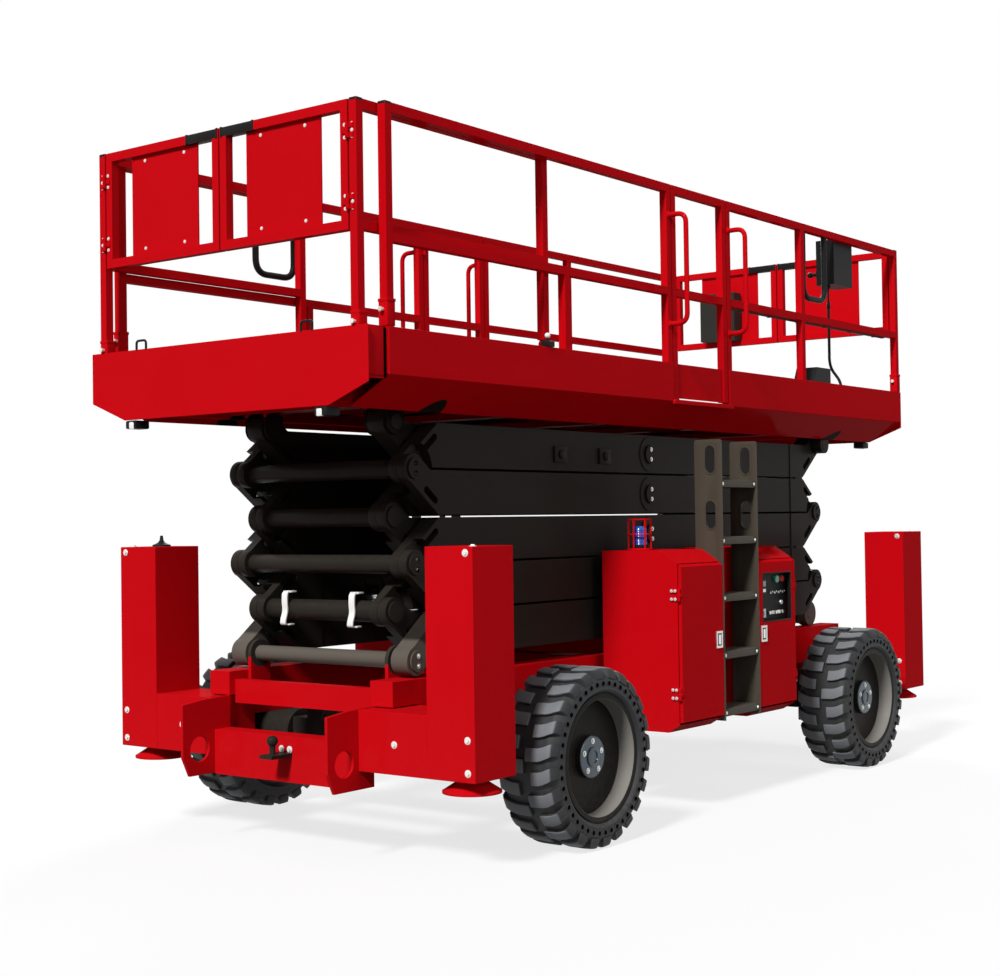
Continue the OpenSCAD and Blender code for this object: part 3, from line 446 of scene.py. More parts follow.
def soften(solid):
    weld = solid.modifiers.new("weld", "WELD")
    weld.merge_threshold = WELD_M
    bevel = solid.modifiers.new("edge", "BEVEL")
    bevel.width = EDGE_M
    bevel.segments = 2
    bevel.limit_method = "ANGLE"
    bevel.angle_limit = math.radians(EDGE_ANGLE_DEG)
    bevel.harden_normals = False


for name, solid in NODES.items():
    look = next((m for key, m in FINISH_BY_NAME if name.startswith(key)), RED)
    solid.data.materials.clear()
    solid.data.materials.append(look)
    if not name.startswith("tyre"):
        soften(solid)
print("dressed", len(NODES), "solids")

# %% [markdown]
# The small pieces share a few makers. A block with bevelled edges, a turned shape and a bent tube cover
# nearly all of them. Each maker adds to one mesh, so a latch or a lamp is one piece with several finishes.

# %% Makers for small pieces


def keep_new(bm, before, material):
    for face in set(bm.faces) - before:
        face.material_index = material


def add_block(bm, low, high, edge=0.003, material=0):
    before = set(bm.faces)
    low, high = Vector(low), Vector(high)
    made = bmesh.ops.create_cube(bm, size=1.0)["verts"]
    for vert in made:
        vert.co = Vector([l + (h - l) * (c + 0.5) for l, h, c in zip(low, high, vert.co)])
    edges = list({e for v in made for e in v.link_edges})
    bmesh.ops.bevel(bm, geom=edges, offset=min(edge, min(high - low) * 0.4), segments=2, profile=0.6,
                    affect="EDGES")
    keep_new(bm, before, material)


def add_side_block(bm, side, xs, ys, zs, edge=0.003, material=0):
    """A block given for the left side, where y is positive, or its mirror for side -1."""
    low_y, high_y = sorted((side * ys[0], side * ys[1]))
    add_block(bm, (xs[0], low_y, zs[0]), (xs[1], high_y, zs[1]), edge, material)


def frame_along(direction):
    direction = Vector(direction).normalized()
    helper = Vector((0, 0, 1)) if abs(direction.z) < 0.9 else Vector((1, 0, 0))
    side = direction.cross(helper).normalized()
    return side, direction.cross(side), direction


def add_turned(bm, profile, at, axis, steps=24, material=0):
    """A turned shape: profile is (radius, distance along the axis) from one end to the other."""
    before = set(bm.faces)
    side, other, along = frame_along(axis)
    at = Vector(at)
    rings = []
    for radius, reach in profile:
        centre = at + along * reach
        if radius < 1e-6:
            rings.append([bm.verts.new(centre)])
        else:
            rings.append([bm.verts.new(centre + radius * (side * math.cos(a) + other * math.sin(a)))
                          for a in [2 * math.pi * k / steps for k in range(steps)]])
    for one, two in zip(rings, rings[1:]):
        for k in range(steps):
            n = (k + 1) % steps
            corners = [one[k % len(one)], one[n % len(one)], two[n % len(two)], two[k % len(two)]]
            corners = list(dict.fromkeys(corners))
            if len(corners) > 2:
                bm.faces.new(corners)
    for ring in (rings[0], rings[-1]):
        if len(ring) > 2:
            bm.faces.new(ring)
    keep_new(bm, before, material)


def round_path(points, radius, steps=6):
    """Corner points become short arcs, as in a bent tube."""
    points = [Vector(p) for p in points]
    path = [points[0]]
    for back, corner, on in zip(points, points[1:], points[2:]):
        into, out = (back - corner).normalized(), (on - corner).normalized()
        cut = min(radius, (back - corner).length * 0.49, (on - corner).length * 0.49)
        for k in range(steps + 1):
            t = k / steps
            path.append(corner + into * cut * (1 - t) ** 2 + out * cut * t ** 2)
    return path + [points[-1]]


def add_tube(bm, path, radius, sides=12, material=0, flat=None):
    """A tube along a path; two radii in turn make ribs. flat=(half width, half thickness, width
    direction) makes a strap instead."""
    before = set(bm.faces)
    path = [Vector(p) for p in path]
    rings = []
    side = None
    for k, point in enumerate(path):
        ahead_dir = (path[min(k + 1, len(path) - 1)] - path[max(k - 1, 0)]).normalized()
        if side is None:
            side = frame_along(ahead_dir)[0]
        side = (side - ahead_dir * side.dot(ahead_dir)).normalized()
        if flat:
            wide = Vector(flat[2])
            thick = ahead_dir.cross(wide).normalized()
            ring = [point + wide * flat[0] * a + thick * flat[1] * b
                    for a, b in ((-1, -1), (1, -1), (1, 1), (-1, 1))]
        else:
            other = ahead_dir.cross(side)
            wide = radius[k % len(radius)] if isinstance(radius, tuple) else radius
            ring = [point + wide * (side * math.cos(a) + other * math.sin(a))
                    for a in [2 * math.pi * n / sides for n in range(sides)]]
        rings.append([bm.verts.new(v) for v in ring])
    count = len(rings[0])
    for one, two in zip(rings, rings[1:]):
        for n in range(count):
            m = (n + 1) % count
            bm.faces.new((one[n], one[m], two[m], two[n]))
    bm.faces.new(rings[0])
    bm.faces.new(rings[-1])
    keep_new(bm, before, material)


PIECES = []


def finish_piece(name, mesh, body, materials, smooth=35):
    piece = bpy.data.objects.new(name, mesh)
    scene.collection.objects.link(piece)
    if not mesh.materials:
        for material in materials:
            mesh.materials.append(material)
    for face in mesh.polygons:
        face.use_smooth = True
    mesh.set_sharp_from_angle(angle=math.radians(smooth))
    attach(piece, body)
    PIECES.append(piece)
    return piece


def make_piece(name, body, materials, build, smooth=35):
    bm = bmesh.new()
    build(bm)
    bmesh.ops.recalc_face_normals(bm, faces=bm.faces)
    mesh = bpy.data.meshes.new(name)
    bm.to_mesh(mesh)
    bm.free()
    return finish_piece(name, mesh, body, materials, smooth)


SIDES = (("right", -1), ("left", 1))
ENDS = (("rear", -1), ("front", 1))
print("makers ready")

# %% [markdown]
# The control box's lead hangs free: it leaves a collar under the box, hangs straight down inside the
# rail, and curves out behind the toe board into its socket. It is a ribbed hose, so its rings are
# alternately wide and narrow along one smooth line, through the points that its plain solid follows.

# %% Control lead
LEAD_R = 0.009
LEAD_RIB = 0.0007
LEAD_ROUTE = ((0, 0), (0, -0.040), (0, -0.080), (0, -0.120), (0, -0.160), (0, -0.200), (0, -0.240),
              (0, -0.280), (0, -0.310), (0.005, -0.346), (0.018, -0.380), (0.039, -0.410),
              (0.060, -0.440), (0.073, -0.474), (0.078, -0.510), (0.078, -0.532))
LEAD_STEPS = 9
lead_low, lead_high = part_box("control_lead")
lead_exit = Vector(((lead_low[0] + lead_high[0]) / 2, lead_high[1] - LEAD_R, lead_high[2]))
marks = [lead_exit + Vector((0, -out, down)) for out, down in LEAD_ROUTE]


def smooth_line(points, steps):
    """A smooth line through points: each stretch bends towards its neighbours."""
    line = []
    for k in range(len(points) - 1):
        back, here = points[max(k - 1, 0)], points[k]
        on, after = points[k + 1], points[min(k + 2, len(points) - 1)]
        for n in range(steps):
            t = n / steps
            line.append(0.5 * (2 * here + (on - back) * t + (2 * back - 5 * here + 4 * on - after) * t ** 2
                               + (3 * here - back - 3 * on + after) * t ** 3))
    return line + [points[-1]]


lead_line = smooth_line(marks, LEAD_STEPS)
lead_length = sum((b - a).length for a, b in zip(lead_line, lead_line[1:]))
lead_hose = make_piece("lead_hose", "platform", [PLASTIC],
                       lambda bm: add_tube(bm, lead_line, (LEAD_R, LEAD_R - LEAD_RIB), 16), smooth=60)
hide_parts("control_lead")
print("lead:", round(lead_length, 3), "m")

# %% [markdown]
# Bolt heads are everywhere: on the outrigger covers, the hinges, the ladder steps and the wheel hubs. One
# Geometry Nodes tree puts a head and a washer on every point of a cloud, turned to the point's own "aim".
# The result is made a plain mesh, one for each body that the bolts move with.

# %% Bolt tree


def tree_with(name, inputs):
    tree = bpy.data.node_groups.new(name, "GeometryNodeTree")
    tree.interface.new_socket("Geometry", in_out="INPUT", socket_type="NodeSocketGeometry")
    for label, kind, value in inputs:
        socket = tree.interface.new_socket(label, in_out="INPUT", socket_type=kind)
        if value is not None:
            socket.default_value = value
    tree.interface.new_socket("Geometry", in_out="OUTPUT", socket_type="NodeSocketGeometry")
    return tree, tree.nodes.new("NodeGroupInput"), tree.nodes.new("NodeGroupOutput")


HEAD_TAPER = 0.82
HEAD_SHARE = 0.75
WASHER_SIDES = 14
WASHER_DEPTH = 0.004
BOLTS, start, end = tree_with("bolt_heads", (
    ("Head Radius", "NodeSocketFloat", 0.009), ("Head Height", "NodeSocketFloat", 0.007),
    ("Washer Radius", "NodeSocketFloat", 0.013), ("Sides", "NodeSocketInt", 6),
    ("Finish", "NodeSocketMaterial", None)))
head = BOLTS.nodes.new("GeometryNodeMeshCone")
taper = BOLTS.nodes.new("ShaderNodeMath")
taper.operation = "MULTIPLY"
taper.inputs[1].default_value = HEAD_TAPER
washer = BOLTS.nodes.new("GeometryNodeMeshCylinder")
washer.inputs["Vertices"].default_value = WASHER_SIDES
washer.inputs["Depth"].default_value = WASHER_DEPTH
both = BOLTS.nodes.new("GeometryNodeJoinGeometry")
aim = BOLTS.nodes.new("GeometryNodeInputNamedAttribute")
aim.data_type = "FLOAT_VECTOR"
aim.inputs["Name"].default_value = "aim"
turn = BOLTS.nodes.new("FunctionNodeAlignRotationToVector")
turn.axis = "Z"
place = BOLTS.nodes.new("GeometryNodeInstanceOnPoints")
real = BOLTS.nodes.new("GeometryNodeRealizeInstances")
paint = BOLTS.nodes.new("GeometryNodeSetMaterial")
for source, target in (
        (start.outputs["Head Radius"], head.inputs["Radius Bottom"]),
        (start.outputs["Head Radius"], taper.inputs[0]), (taper.outputs[0], head.inputs["Radius Top"]),
        (start.outputs["Head Height"], head.inputs["Depth"]),
        (start.outputs["Sides"], head.inputs["Vertices"]),
        (start.outputs["Washer Radius"], washer.inputs["Radius"]),
        (head.outputs["Mesh"], both.inputs[0]), (washer.outputs["Mesh"], both.inputs[0]),
        (start.outputs["Geometry"], place.inputs["Points"]), (both.outputs[0], place.inputs["Instance"]),
        (aim.outputs["Attribute"], turn.inputs["Vector"]),
        (turn.outputs["Rotation"], place.inputs["Rotation"]),
        (place.outputs[0], real.inputs[0]), (real.outputs[0], paint.inputs["Geometry"]),
        (start.outputs["Finish"], paint.inputs["Material"]), (paint.outputs[0], end.inputs["Geometry"])):
    BOLTS.links.new(source, target)


def run_tree(tree, mesh, values):
    """Evaluates a tree on a mesh and gives back the plain result."""
    carrier = bpy.data.objects.new("carrier", mesh)
    scene.collection.objects.link(carrier)
    modifier = carrier.modifiers.new("tree", "NODES")
    modifier.node_group = tree
    sockets = {item.name: item.identifier for item in tree.interface.items_tree if item.in_out == "INPUT"}
    for label, value in values.items():
        modifier[sockets[label]] = value
    ready = carrier.evaluated_get(bpy.context.evaluated_depsgraph_get())
    result = bpy.data.meshes.new_from_object(ready)
    carrier.modifiers.remove(modifier)
    bpy.data.objects.remove(carrier)
    return result


def bolt_set(name, body, places, radius, material, height=None, sides=6, washer_scale=1.45):
    """places: (point, direction) for each bolt."""
    cloud = bpy.data.meshes.new(name + "_points")
    cloud.from_pydata([tuple(p) for p, d in places], [], [])
    cloud.attributes.new("aim", "FLOAT_VECTOR", "POINT")
    cloud.attributes["aim"].data.foreach_set("vector", [c for p, d in places for c in d])
    mesh = run_tree(BOLTS, cloud, {"Head Radius": radius, "Head Height": height or radius * HEAD_SHARE,
                                   "Washer Radius": radius * washer_scale, "Sides": sides,
                                   "Finish": material})
    finish_piece(name, mesh, body, [material], smooth=30)


print("bolt tree inputs:", [i.name for i in BOLTS.interface.items_tree if i.in_out == "INPUT"])

# %% [markdown]
# A tyre of this kind is solid-looking, with chunky lugs that run in from the shoulder, long and short in
# turn. Modelling one lug and repeating it round the axle keeps every lug alike: the tree makes the ring for
# one shoulder, and mirrors it half a pitch on for the other. The carcass is a turned shape. The ring of holes
# in the outer wall is painted shade: flat near-black discs stand where the holes would be, each in a low
# rubber lip.

# %% Tyres
TREAD_R = 0.381
TYRE_HALF = 0.1525
AXLE_X = (BASE_X - AXLE_REACH, BASE_X + AXLE_REACH)
WHEEL_Y = 1.155 - TYRE_HALF
LUG_PAIRS = 12
LUG_HALF = 0.029
LUG_ROOT_R = 0.352
LUG_LEAN = 0.004
LUG_BEVEL = 0.004
WALL_OUT = 0.1495
LUG_WALL_R = 0.36
CROWN_R = 0.372
SHARP_RAD = 0.7
HOLES = 44
HOLE_RING = 0.328
HOLE_FACE = 0.1488
HUB_OUT = 0.0798
STUDS = 5
STUD_RING = 0.070
STUD_LIFT = 0.009

TREAD, start, end = tree_with("tread_ring", (
    ("Repeats", "NodeSocketInt", 12), ("Half Pitch", "NodeSocketFloat", math.pi / 24),
    ("Finish", "NodeSocketMaterial", None)))
spots = TREAD.nodes.new("GeometryNodePoints")
index = TREAD.nodes.new("GeometryNodeInputIndex")
share = TREAD.nodes.new("ShaderNodeMath")
share.operation = "DIVIDE"
angle = TREAD.nodes.new("ShaderNodeMath")
angle.operation = "MULTIPLY"
angle.inputs[1].default_value = 2 * math.pi
spin = TREAD.nodes.new("ShaderNodeCombineXYZ")
ring = TREAD.nodes.new("GeometryNodeInstanceOnPoints")
real = TREAD.nodes.new("GeometryNodeRealizeInstances")
other_side = TREAD.nodes.new("GeometryNodeTransform")
other_side.inputs["Scale"].default_value = (1, -1, 1)
half_turn = TREAD.nodes.new("ShaderNodeCombineXYZ")
outward = TREAD.nodes.new("GeometryNodeFlipFaces")
both = TREAD.nodes.new("GeometryNodeJoinGeometry")
paint = TREAD.nodes.new("GeometryNodeSetMaterial")
for source, target in (
        (start.outputs["Repeats"], spots.inputs["Count"]), (index.outputs[0], share.inputs[0]),
        (start.outputs["Repeats"], share.inputs[1]), (share.outputs[0], angle.inputs[0]),
        (angle.outputs[0], spin.inputs["Y"]), (spots.outputs[0], ring.inputs["Points"]),
        (start.outputs["Geometry"], ring.inputs["Instance"]), (spin.outputs[0], ring.inputs["Rotation"]),
        (ring.outputs[0], real.inputs[0]), (real.outputs[0], other_side.inputs["Geometry"]),
        (start.outputs["Half Pitch"], half_turn.inputs["Y"]),
        (half_turn.outputs[0], other_side.inputs["Rotation"]),
        (other_side.outputs[0], outward.inputs["Mesh"]), (real.outputs[0], both.inputs[0]),
        (outward.outputs[0], both.inputs[0]), (both.outputs[0], paint.inputs["Geometry"]),
        (start.outputs["Finish"], paint.inputs["Material"]), (paint.outputs[0], end.inputs["Geometry"])):
    TREAD.links.new(source, target)


def add_lug(bm, start_y, turn_angle, half_width):
    """One lug on the top of the tyre: axial near the middle, swept back at the shoulder."""
    stations = ((start_y, 0.000, WHEEL_R), (0.070, 0.002, WHEEL_R), (0.095, 0.008, WHEEL_R),
                (0.118, 0.018, WHEEL_R - 0.001), (0.136, 0.026, WHEEL_R - 0.006),
                (0.147, 0.031, WHEEL_R - 0.020), (0.1505, 0.034, WHEEL_R - 0.045))
    rings = []
    for y, sweep, top in stations:
        ring = []
        for t, r in ((sweep - half_width - LUG_LEAN, LUG_ROOT_R), (sweep - half_width, top), (sweep, top),
                     (sweep + half_width, top), (sweep + half_width + LUG_LEAN, LUG_ROOT_R)):
            lean = turn_angle + t / WHEEL_R
            reach = y if r > LUG_WALL_R else min(y, WALL_OUT)
            ring.append(bm.verts.new((r * math.sin(lean), reach, r * math.cos(lean))))
        rings.append(ring)
    faces = []
    for one, two in zip(rings, rings[1:]):
        for n in range(4):
            faces.append(bm.faces.new((one[n], one[n + 1], two[n + 1], two[n])))
        faces.append(bm.faces.new((one[4], one[0], two[0], two[4])))
    faces.append(bm.faces.new(rings[0]))
    faces.append(bm.faces.new(rings[-1]))
    bmesh.ops.recalc_face_normals(bm, faces=faces)
    mine = set(faces)
    crown = [e for e in bm.edges if len(e.link_faces) == 2 and all(f in mine for f in e.link_faces)
             and e.calc_face_angle(0) > SHARP_RAD
             and min((v.co.x ** 2 + v.co.z ** 2) ** 0.5 for v in e.verts) > CROWN_R]
    bmesh.ops.bevel(bm, geom=crown, offset=LUG_BEVEL, segments=2, affect="EDGES", profile=0.6)


def wheel_ring(count, radius, x, y, side):
    """Places and directions round a wheel's axle, on a face that looks outwards."""
    turns = [2 * math.pi * k / count for k in range(count)]
    return [((x + radius * math.sin(a), y, WHEEL_R + radius * math.cos(a)), (0, side, 0)) for a in turns]


lug_mesh = bpy.data.meshes.new("lug_pair")
bm = bmesh.new()
add_lug(bm, 0.006, 0.0, LUG_HALF)
add_lug(bm, 0.034, 2 * math.pi / (2 * LUG_PAIRS), LUG_HALF)
bm.to_mesh(lug_mesh)
bm.free()
tread_mesh = run_tree(TREAD, lug_mesh, {"Repeats": LUG_PAIRS, "Half Pitch": math.pi / (2 * LUG_PAIRS),
                                        "Finish": RUBBER})

half = ((0.2732, 0.1280), (0.2850, 0.1285), (0.2930, 0.1420), (0.2985, 0.1490), (0.3040, 0.1512),
        (0.3090, 0.1495), (0.3140, 0.1485), (0.3420, 0.1492), (0.3545, 0.1425), (0.3680, 0.1290),
        (0.3790, 0.1120), (TREAD_R, 0.1000))
carcass = [*half, *[(r, -y) for r, y in reversed(half)], half[0]]

for end_name, end_sign in ENDS:
    for side_name, side_sign in SIDES:
        where = end_name + "_" + side_name
        centre = Vector((AXLE_X[0 if end_sign < 0 else 1], side_sign * WHEEL_Y, WHEEL_R))
        bm = bmesh.new()
        add_turned(bm, carcass, (0, 0, 0), (0, 1, 0), steps=96)
        bmesh.ops.delete(bm, geom=[f for f in bm.faces if len(f.verts) > 4], context="FACES")
        bmesh.ops.remove_doubles(bm, verts=bm.verts, dist=1e-6)
        bmesh.ops.recalc_face_normals(bm, faces=bm.faces)
        bm.from_mesh(tread_mesh)
        bmesh.ops.translate(bm, verts=bm.verts, vec=centre)
        mesh = bpy.data.meshes.new("tyre_" + where)
        bm.to_mesh(mesh)
        bm.free()
        tyre = finish_piece("lugged_tyre_" + where, mesh, "wheel_" + where, [RUBBER], smooth=40)
        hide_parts("tyre_" + where)
        face_y = side_sign * (WHEEL_Y + HOLE_FACE)
        # The second ring is painted shade: flat near-black discs where the holes would be.
        for ring_name, lift, wide, look in (("sidewall_lips_", 0.0, 0.0140, RUBBER),
                                            ("sidewall_painted_hole_shade_", 0.0006, 0.0105, BLACK_RUBBER_AND_PAINTED_HOLE_SHADE)):
            holes = wheel_ring(HOLES, HOLE_RING, centre.x, face_y + side_sign * lift, side_sign)
            bolt_set(ring_name + where, "wheel_" + where, holes, wide * 0.9, look, height=0.001,
                     sides=12, washer_scale=1 / 0.9)
        hub_y = side_sign * (WHEEL_Y + HUB_OUT)

        def hub(bm):
            add_turned(bm, ((0.094, 0.000), (0.094, 0.006), (0.090, 0.009), (0.046, 0.010), (0.044, 0.016),
                            (0.028, 0.018), (0.026, 0.013), (0.000, 0.013)),
                       (centre.x, hub_y, WHEEL_R), (0, side_sign, 0), steps=48)
        make_piece("hub_plate_" + where, "wheel_" + where, [HUB], hub)
        studs = wheel_ring(STUDS, STUD_RING, centre.x, hub_y + side_sign * STUD_LIFT, side_sign)
        bolt_set("hub_bolts_" + where, "wheel_" + where, studs, 0.009, ZINC)
print("tyres: 4, lugs on each:", 4 * LUG_PAIRS)

# %% [markdown]
# The outriggers are closed by covers with bright bolts near their corners. Their places start from the
# towers' own box. The cabinet hinges have small bolts of the same plating, and the ladder steps zinc ones.

# %% Bolts of the base
COVER_Y = 1.055
COVER_Z = (1.325, 0.565, 0.432)
TOWER_DEEP = 0.272
HINGE_X = {-1: -0.569, 1: 0.625}
CABINET_EDGE_Y = 1.065
STEP_FACE_Y = 1.070
STEP_Z = [0.467 + k * 0.2895 for k in range(5)]
house_low, house_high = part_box("outrigger_housings")
cover = []
for x_sign in (-1, 1):
    outer_x = house_low[0] if x_sign < 0 else house_high[0]
    for y_sign in (-1, 1):
        for z in COVER_Z:
            cover.append(((outer_x, y_sign * COVER_Y, z), (x_sign, 0, 0)))
            cover.append(((outer_x - x_sign * TOWER_DEEP, y_sign * COVER_Y, z), (-x_sign, 0, 0)))
        cover.append(((outer_x, y_sign * 0.66, 0.520), (x_sign, 0, 0)))
        cover.append(((outer_x - x_sign * 0.05, y_sign * COVER_Y, 1.351), (0, 0, 1)))
bolt_set("cover_bolts", "base", cover, 0.011, WHITE_CAP, sides=10)

plate = []
for y_sign in (-1, 1):
    for z in (0.600, 1.080):
        for step in (-0.020, 0.020):
            for back in (0.022, 0.042):
                for x_sign, x in HINGE_X.items():
                    plate.append(((x, y_sign * (CABINET_EDGE_Y - back), z + step), (x_sign, 0, 0)))
bolt_set("hinge_bolts", "base", plate, 0.0055, WHITE_CAP, sides=10)

lad_low, lad_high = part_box("ladders")
treads = []
for y_sign in (-1, 1):
    for z in STEP_Z:
        for x in (lad_low[0] + 0.024, lad_high[0] - 0.024):
            treads.append(((x, y_sign * STEP_FACE_Y, z), (0, y_sign, 0)))
bolt_set("step_bolts", "base", treads, 0.006, ZINC)
print("bolts on the base:", len(cover) + len(plate) + len(treads))

# %% [markdown]
# The ladders are two flat side plates with five folded treads. Each plate has two oval hand slots with a
# raised rim. A plate with holes is filled from its outlines and then given its thickness, which leaves the
# slots smooth without a boolean. Each tread is a top sheet with a lip folded down at the front and the back.

# %% Ladders
LADDER_T = 0.008
LADDER_Y = (0.919, 1.077)
SLOT_Y = 1.011
SLOT_DROPS = (0.101, 0.382)
SLOT_HALF = (0.028, 0.070)
SLOT_RIM = 0.007
RIM_PROUD = 0.003
CORNER = 0.012


def oval(centre, half, steps=10):
    """A slot with round ends, as points round its edge."""
    (u, v), (wide, tall) = centre, half
    turns = [math.pi * k / steps for k in range(steps + 1)]
    upper = [(u + wide * math.cos(a), v + tall - wide + wide * math.sin(a)) for a in turns]
    return upper + [(2 * u - a, 2 * v - b) for a, b in upper]


def add_plate(bm, outlines, thick, place, edge=0.001):
    """A flat plate: the first outline is its rim, the others are holes. place(u, v, w) stands it up."""
    flat = bmesh.new()
    for outline in outlines:
        ring = [flat.verts.new((u, v, 0)) for u, v in outline]
        for one, two in zip(ring, ring[1:] + ring[:1]):
            flat.edges.new((one, two))
    bmesh.ops.triangle_fill(flat, use_beauty=True, edges=flat.edges[:])
    grown = bmesh.ops.extrude_face_region(flat, geom=flat.faces[:])["geom"]
    raised = [g for g in grown if isinstance(g, bmesh.types.BMVert)]
    bmesh.ops.translate(flat, verts=raised, vec=(0, 0, thick))
    bmesh.ops.recalc_face_normals(flat, faces=flat.faces[:])
    sharp = [e for e in flat.edges if len(e.link_faces) == 2 and e.calc_face_angle(0) > 0.9]
    bmesh.ops.bevel(flat, geom=sharp, offset=edge, segments=2, affect="EDGES", profile=0.6)
    for vert in flat.verts:
        vert.co = place(*vert.co)
    sheet = bpy.data.meshes.new("plate")
    flat.to_mesh(sheet)
    flat.free()
    bm.from_mesh(sheet)
    bpy.data.meshes.remove(sheet)


def ladder(bm):
    low_y, high_y = LADDER_Y
    low_z, high_z = lad_low[2], lad_high[2]
    nip = CORNER * 0.3
    side_plate = [(low_y, low_z), (high_y, low_z), (high_y, high_z - CORNER), (high_y - nip, high_z - nip),
                  (high_y - CORNER, high_z), (low_y + CORNER, high_z), (low_y + nip, high_z - nip),
                  (low_y, high_z - CORNER)]
    rim_half = (SLOT_HALF[0] + SLOT_RIM, SLOT_HALF[1] + SLOT_RIM)
    slots = [oval((SLOT_Y, high_z - drop), SLOT_HALF) for drop in SLOT_DROPS]
    rims = [oval((SLOT_Y, high_z - drop), rim_half) for drop in SLOT_DROPS]
    tread_x = (lad_low[0] + LADDER_T - 0.001, lad_high[0] - LADDER_T + 0.001)
    for side_sign in (-1, 1):
        for x in (lad_low[0], lad_high[0] - LADDER_T):
            add_plate(bm, [side_plate] + slots, LADDER_T, lambda u, v, w: Vector((x + w, side_sign * u, v)))
            for rim, slot in zip(rims, slots):
                add_plate(bm, [rim, slot], LADDER_T + 2 * RIM_PROUD,
                          lambda u, v, w: Vector((x - RIM_PROUD + w, side_sign * u, v)), 0.002)
        for z in STEP_Z:
            for y0, y1, z0, z1 in ((low_y + 0.006, high_y - 0.007, 0.014, 0.018),
                                   (high_y - 0.011, high_y - 0.007, -0.018, 0.016),
                                   (low_y + 0.006, low_y + 0.010, -0.018, 0.016)):
                add_side_block(bm, side_sign, tread_x, (y0, y1), (z + z0, z + z1), 0.001)


slotted = make_piece("slotted_ladders", "base", [GREY], ladder)
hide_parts("ladders")
print("ladders: 2, slots:", 4 * len(SLOT_DROPS))

# %% [markdown]
# Each cabinet door has a square flush latch beside the ladder: a plated frame round a sunken paddle. It
# rides on its door. The tread strips of the ladder are rows of round pips, as on pressed steps.

# %% Latches and step pips
LATCH_X = {-1: -0.238, 1: 0.227}
DOOR_Y = 1.074
LATCH_SLABS = ((0.000, 0.062, 0.800, 0.812, 0.006, 0), (0.000, 0.062, 0.873, 0.885, 0.006, 0),
               (0.000, 0.012, 0.812, 0.873, 0.006, 0), (0.050, 0.062, 0.812, 0.873, 0.006, 0),
               (0.012, 0.050, 0.812, 0.873, 0.001, 1), (0.024, 0.046, 0.818, 0.867, 0.004, 2))
for end_name, end_sign in ENDS:
    for side_name, side_sign in SIDES:
        where = end_name + "_" + side_name
        left = LATCH_X[end_sign]

        def latch(bm):
            for x0, x1, z0, z1, lift, material in LATCH_SLABS:
                add_side_block(bm, side_sign, (left + x0, left + x1), (DOOR_Y - 0.002, DOOR_Y + lift),
                               (z0, z1), 0.002, material)
        make_piece("latch_" + where, "door_" + where, [ZINC, PLASTIC, CHROME], latch)

PIP_ROWS = (13, 5)
PIP_TAPER = 0.55
PIPS, start, end = tree_with("step_pips", (
    ("Length", "NodeSocketFloat", 0.3), ("Width", "NodeSocketFloat", 0.1), ("Along", "NodeSocketInt", 12),
    ("Across", "NodeSocketInt", 4), ("Radius", "NodeSocketFloat", 0.007),
    ("Finish", "NodeSocketMaterial", None)))
sheet_grid = PIPS.nodes.new("GeometryNodeMeshGrid")
pip = PIPS.nodes.new("GeometryNodeMeshCone")
pip.inputs["Vertices"].default_value = 8
pip.inputs["Depth"].default_value = 0.003
crown = PIPS.nodes.new("ShaderNodeMath")
crown.operation = "MULTIPLY"
crown.inputs[1].default_value = PIP_TAPER
rows = PIPS.nodes.new("GeometryNodeInstanceOnPoints")
spread = PIPS.nodes.new("GeometryNodeInstanceOnPoints")
real = PIPS.nodes.new("GeometryNodeRealizeInstances")
paint = PIPS.nodes.new("GeometryNodeSetMaterial")
for source, target in (
        (start.outputs["Length"], sheet_grid.inputs["Size X"]),
        (start.outputs["Width"], sheet_grid.inputs["Size Y"]),
        (start.outputs["Along"], sheet_grid.inputs["Vertices X"]),
        (start.outputs["Across"], sheet_grid.inputs["Vertices Y"]),
        (start.outputs["Radius"], pip.inputs["Radius Bottom"]), (start.outputs["Radius"], crown.inputs[0]),
        (crown.outputs[0], pip.inputs["Radius Top"]), (sheet_grid.outputs["Mesh"], rows.inputs["Points"]),
        (pip.outputs["Mesh"], rows.inputs["Instance"]), (start.outputs["Geometry"], spread.inputs["Points"]),
        (rows.outputs[0], spread.inputs["Instance"]), (spread.outputs[0], real.inputs[0]),
        (real.outputs[0], paint.inputs["Geometry"]), (start.outputs["Finish"], paint.inputs["Material"]),
        (paint.outputs[0], end.inputs["Geometry"])):
    PIPS.links.new(source, target)
step_tops = bpy.data.meshes.new("step_tops")
step_tops.from_pydata([(0.0255, s * 0.9985, z + 0.018) for s in (-1, 1) for z in STEP_Z], [], [])
pips = run_tree(PIPS, step_tops, {"Length": 0.31, "Width": 0.11, "Along": PIP_ROWS[0], "Across": PIP_ROWS[1],
                                  "Radius": 0.006, "Finish": GREY})
finish_piece("step_pips", pips, "base", [GREY])
print("pips:", 2 * len(STEP_Z) * PIP_ROWS[0] * PIP_ROWS[1])

# %% [markdown]
# The platform floor is chequer plate. A tree lays raised lozenges on a grid and turns every second one the
# other way. They are real shapes, not a bump, so that they still show in the exported model.

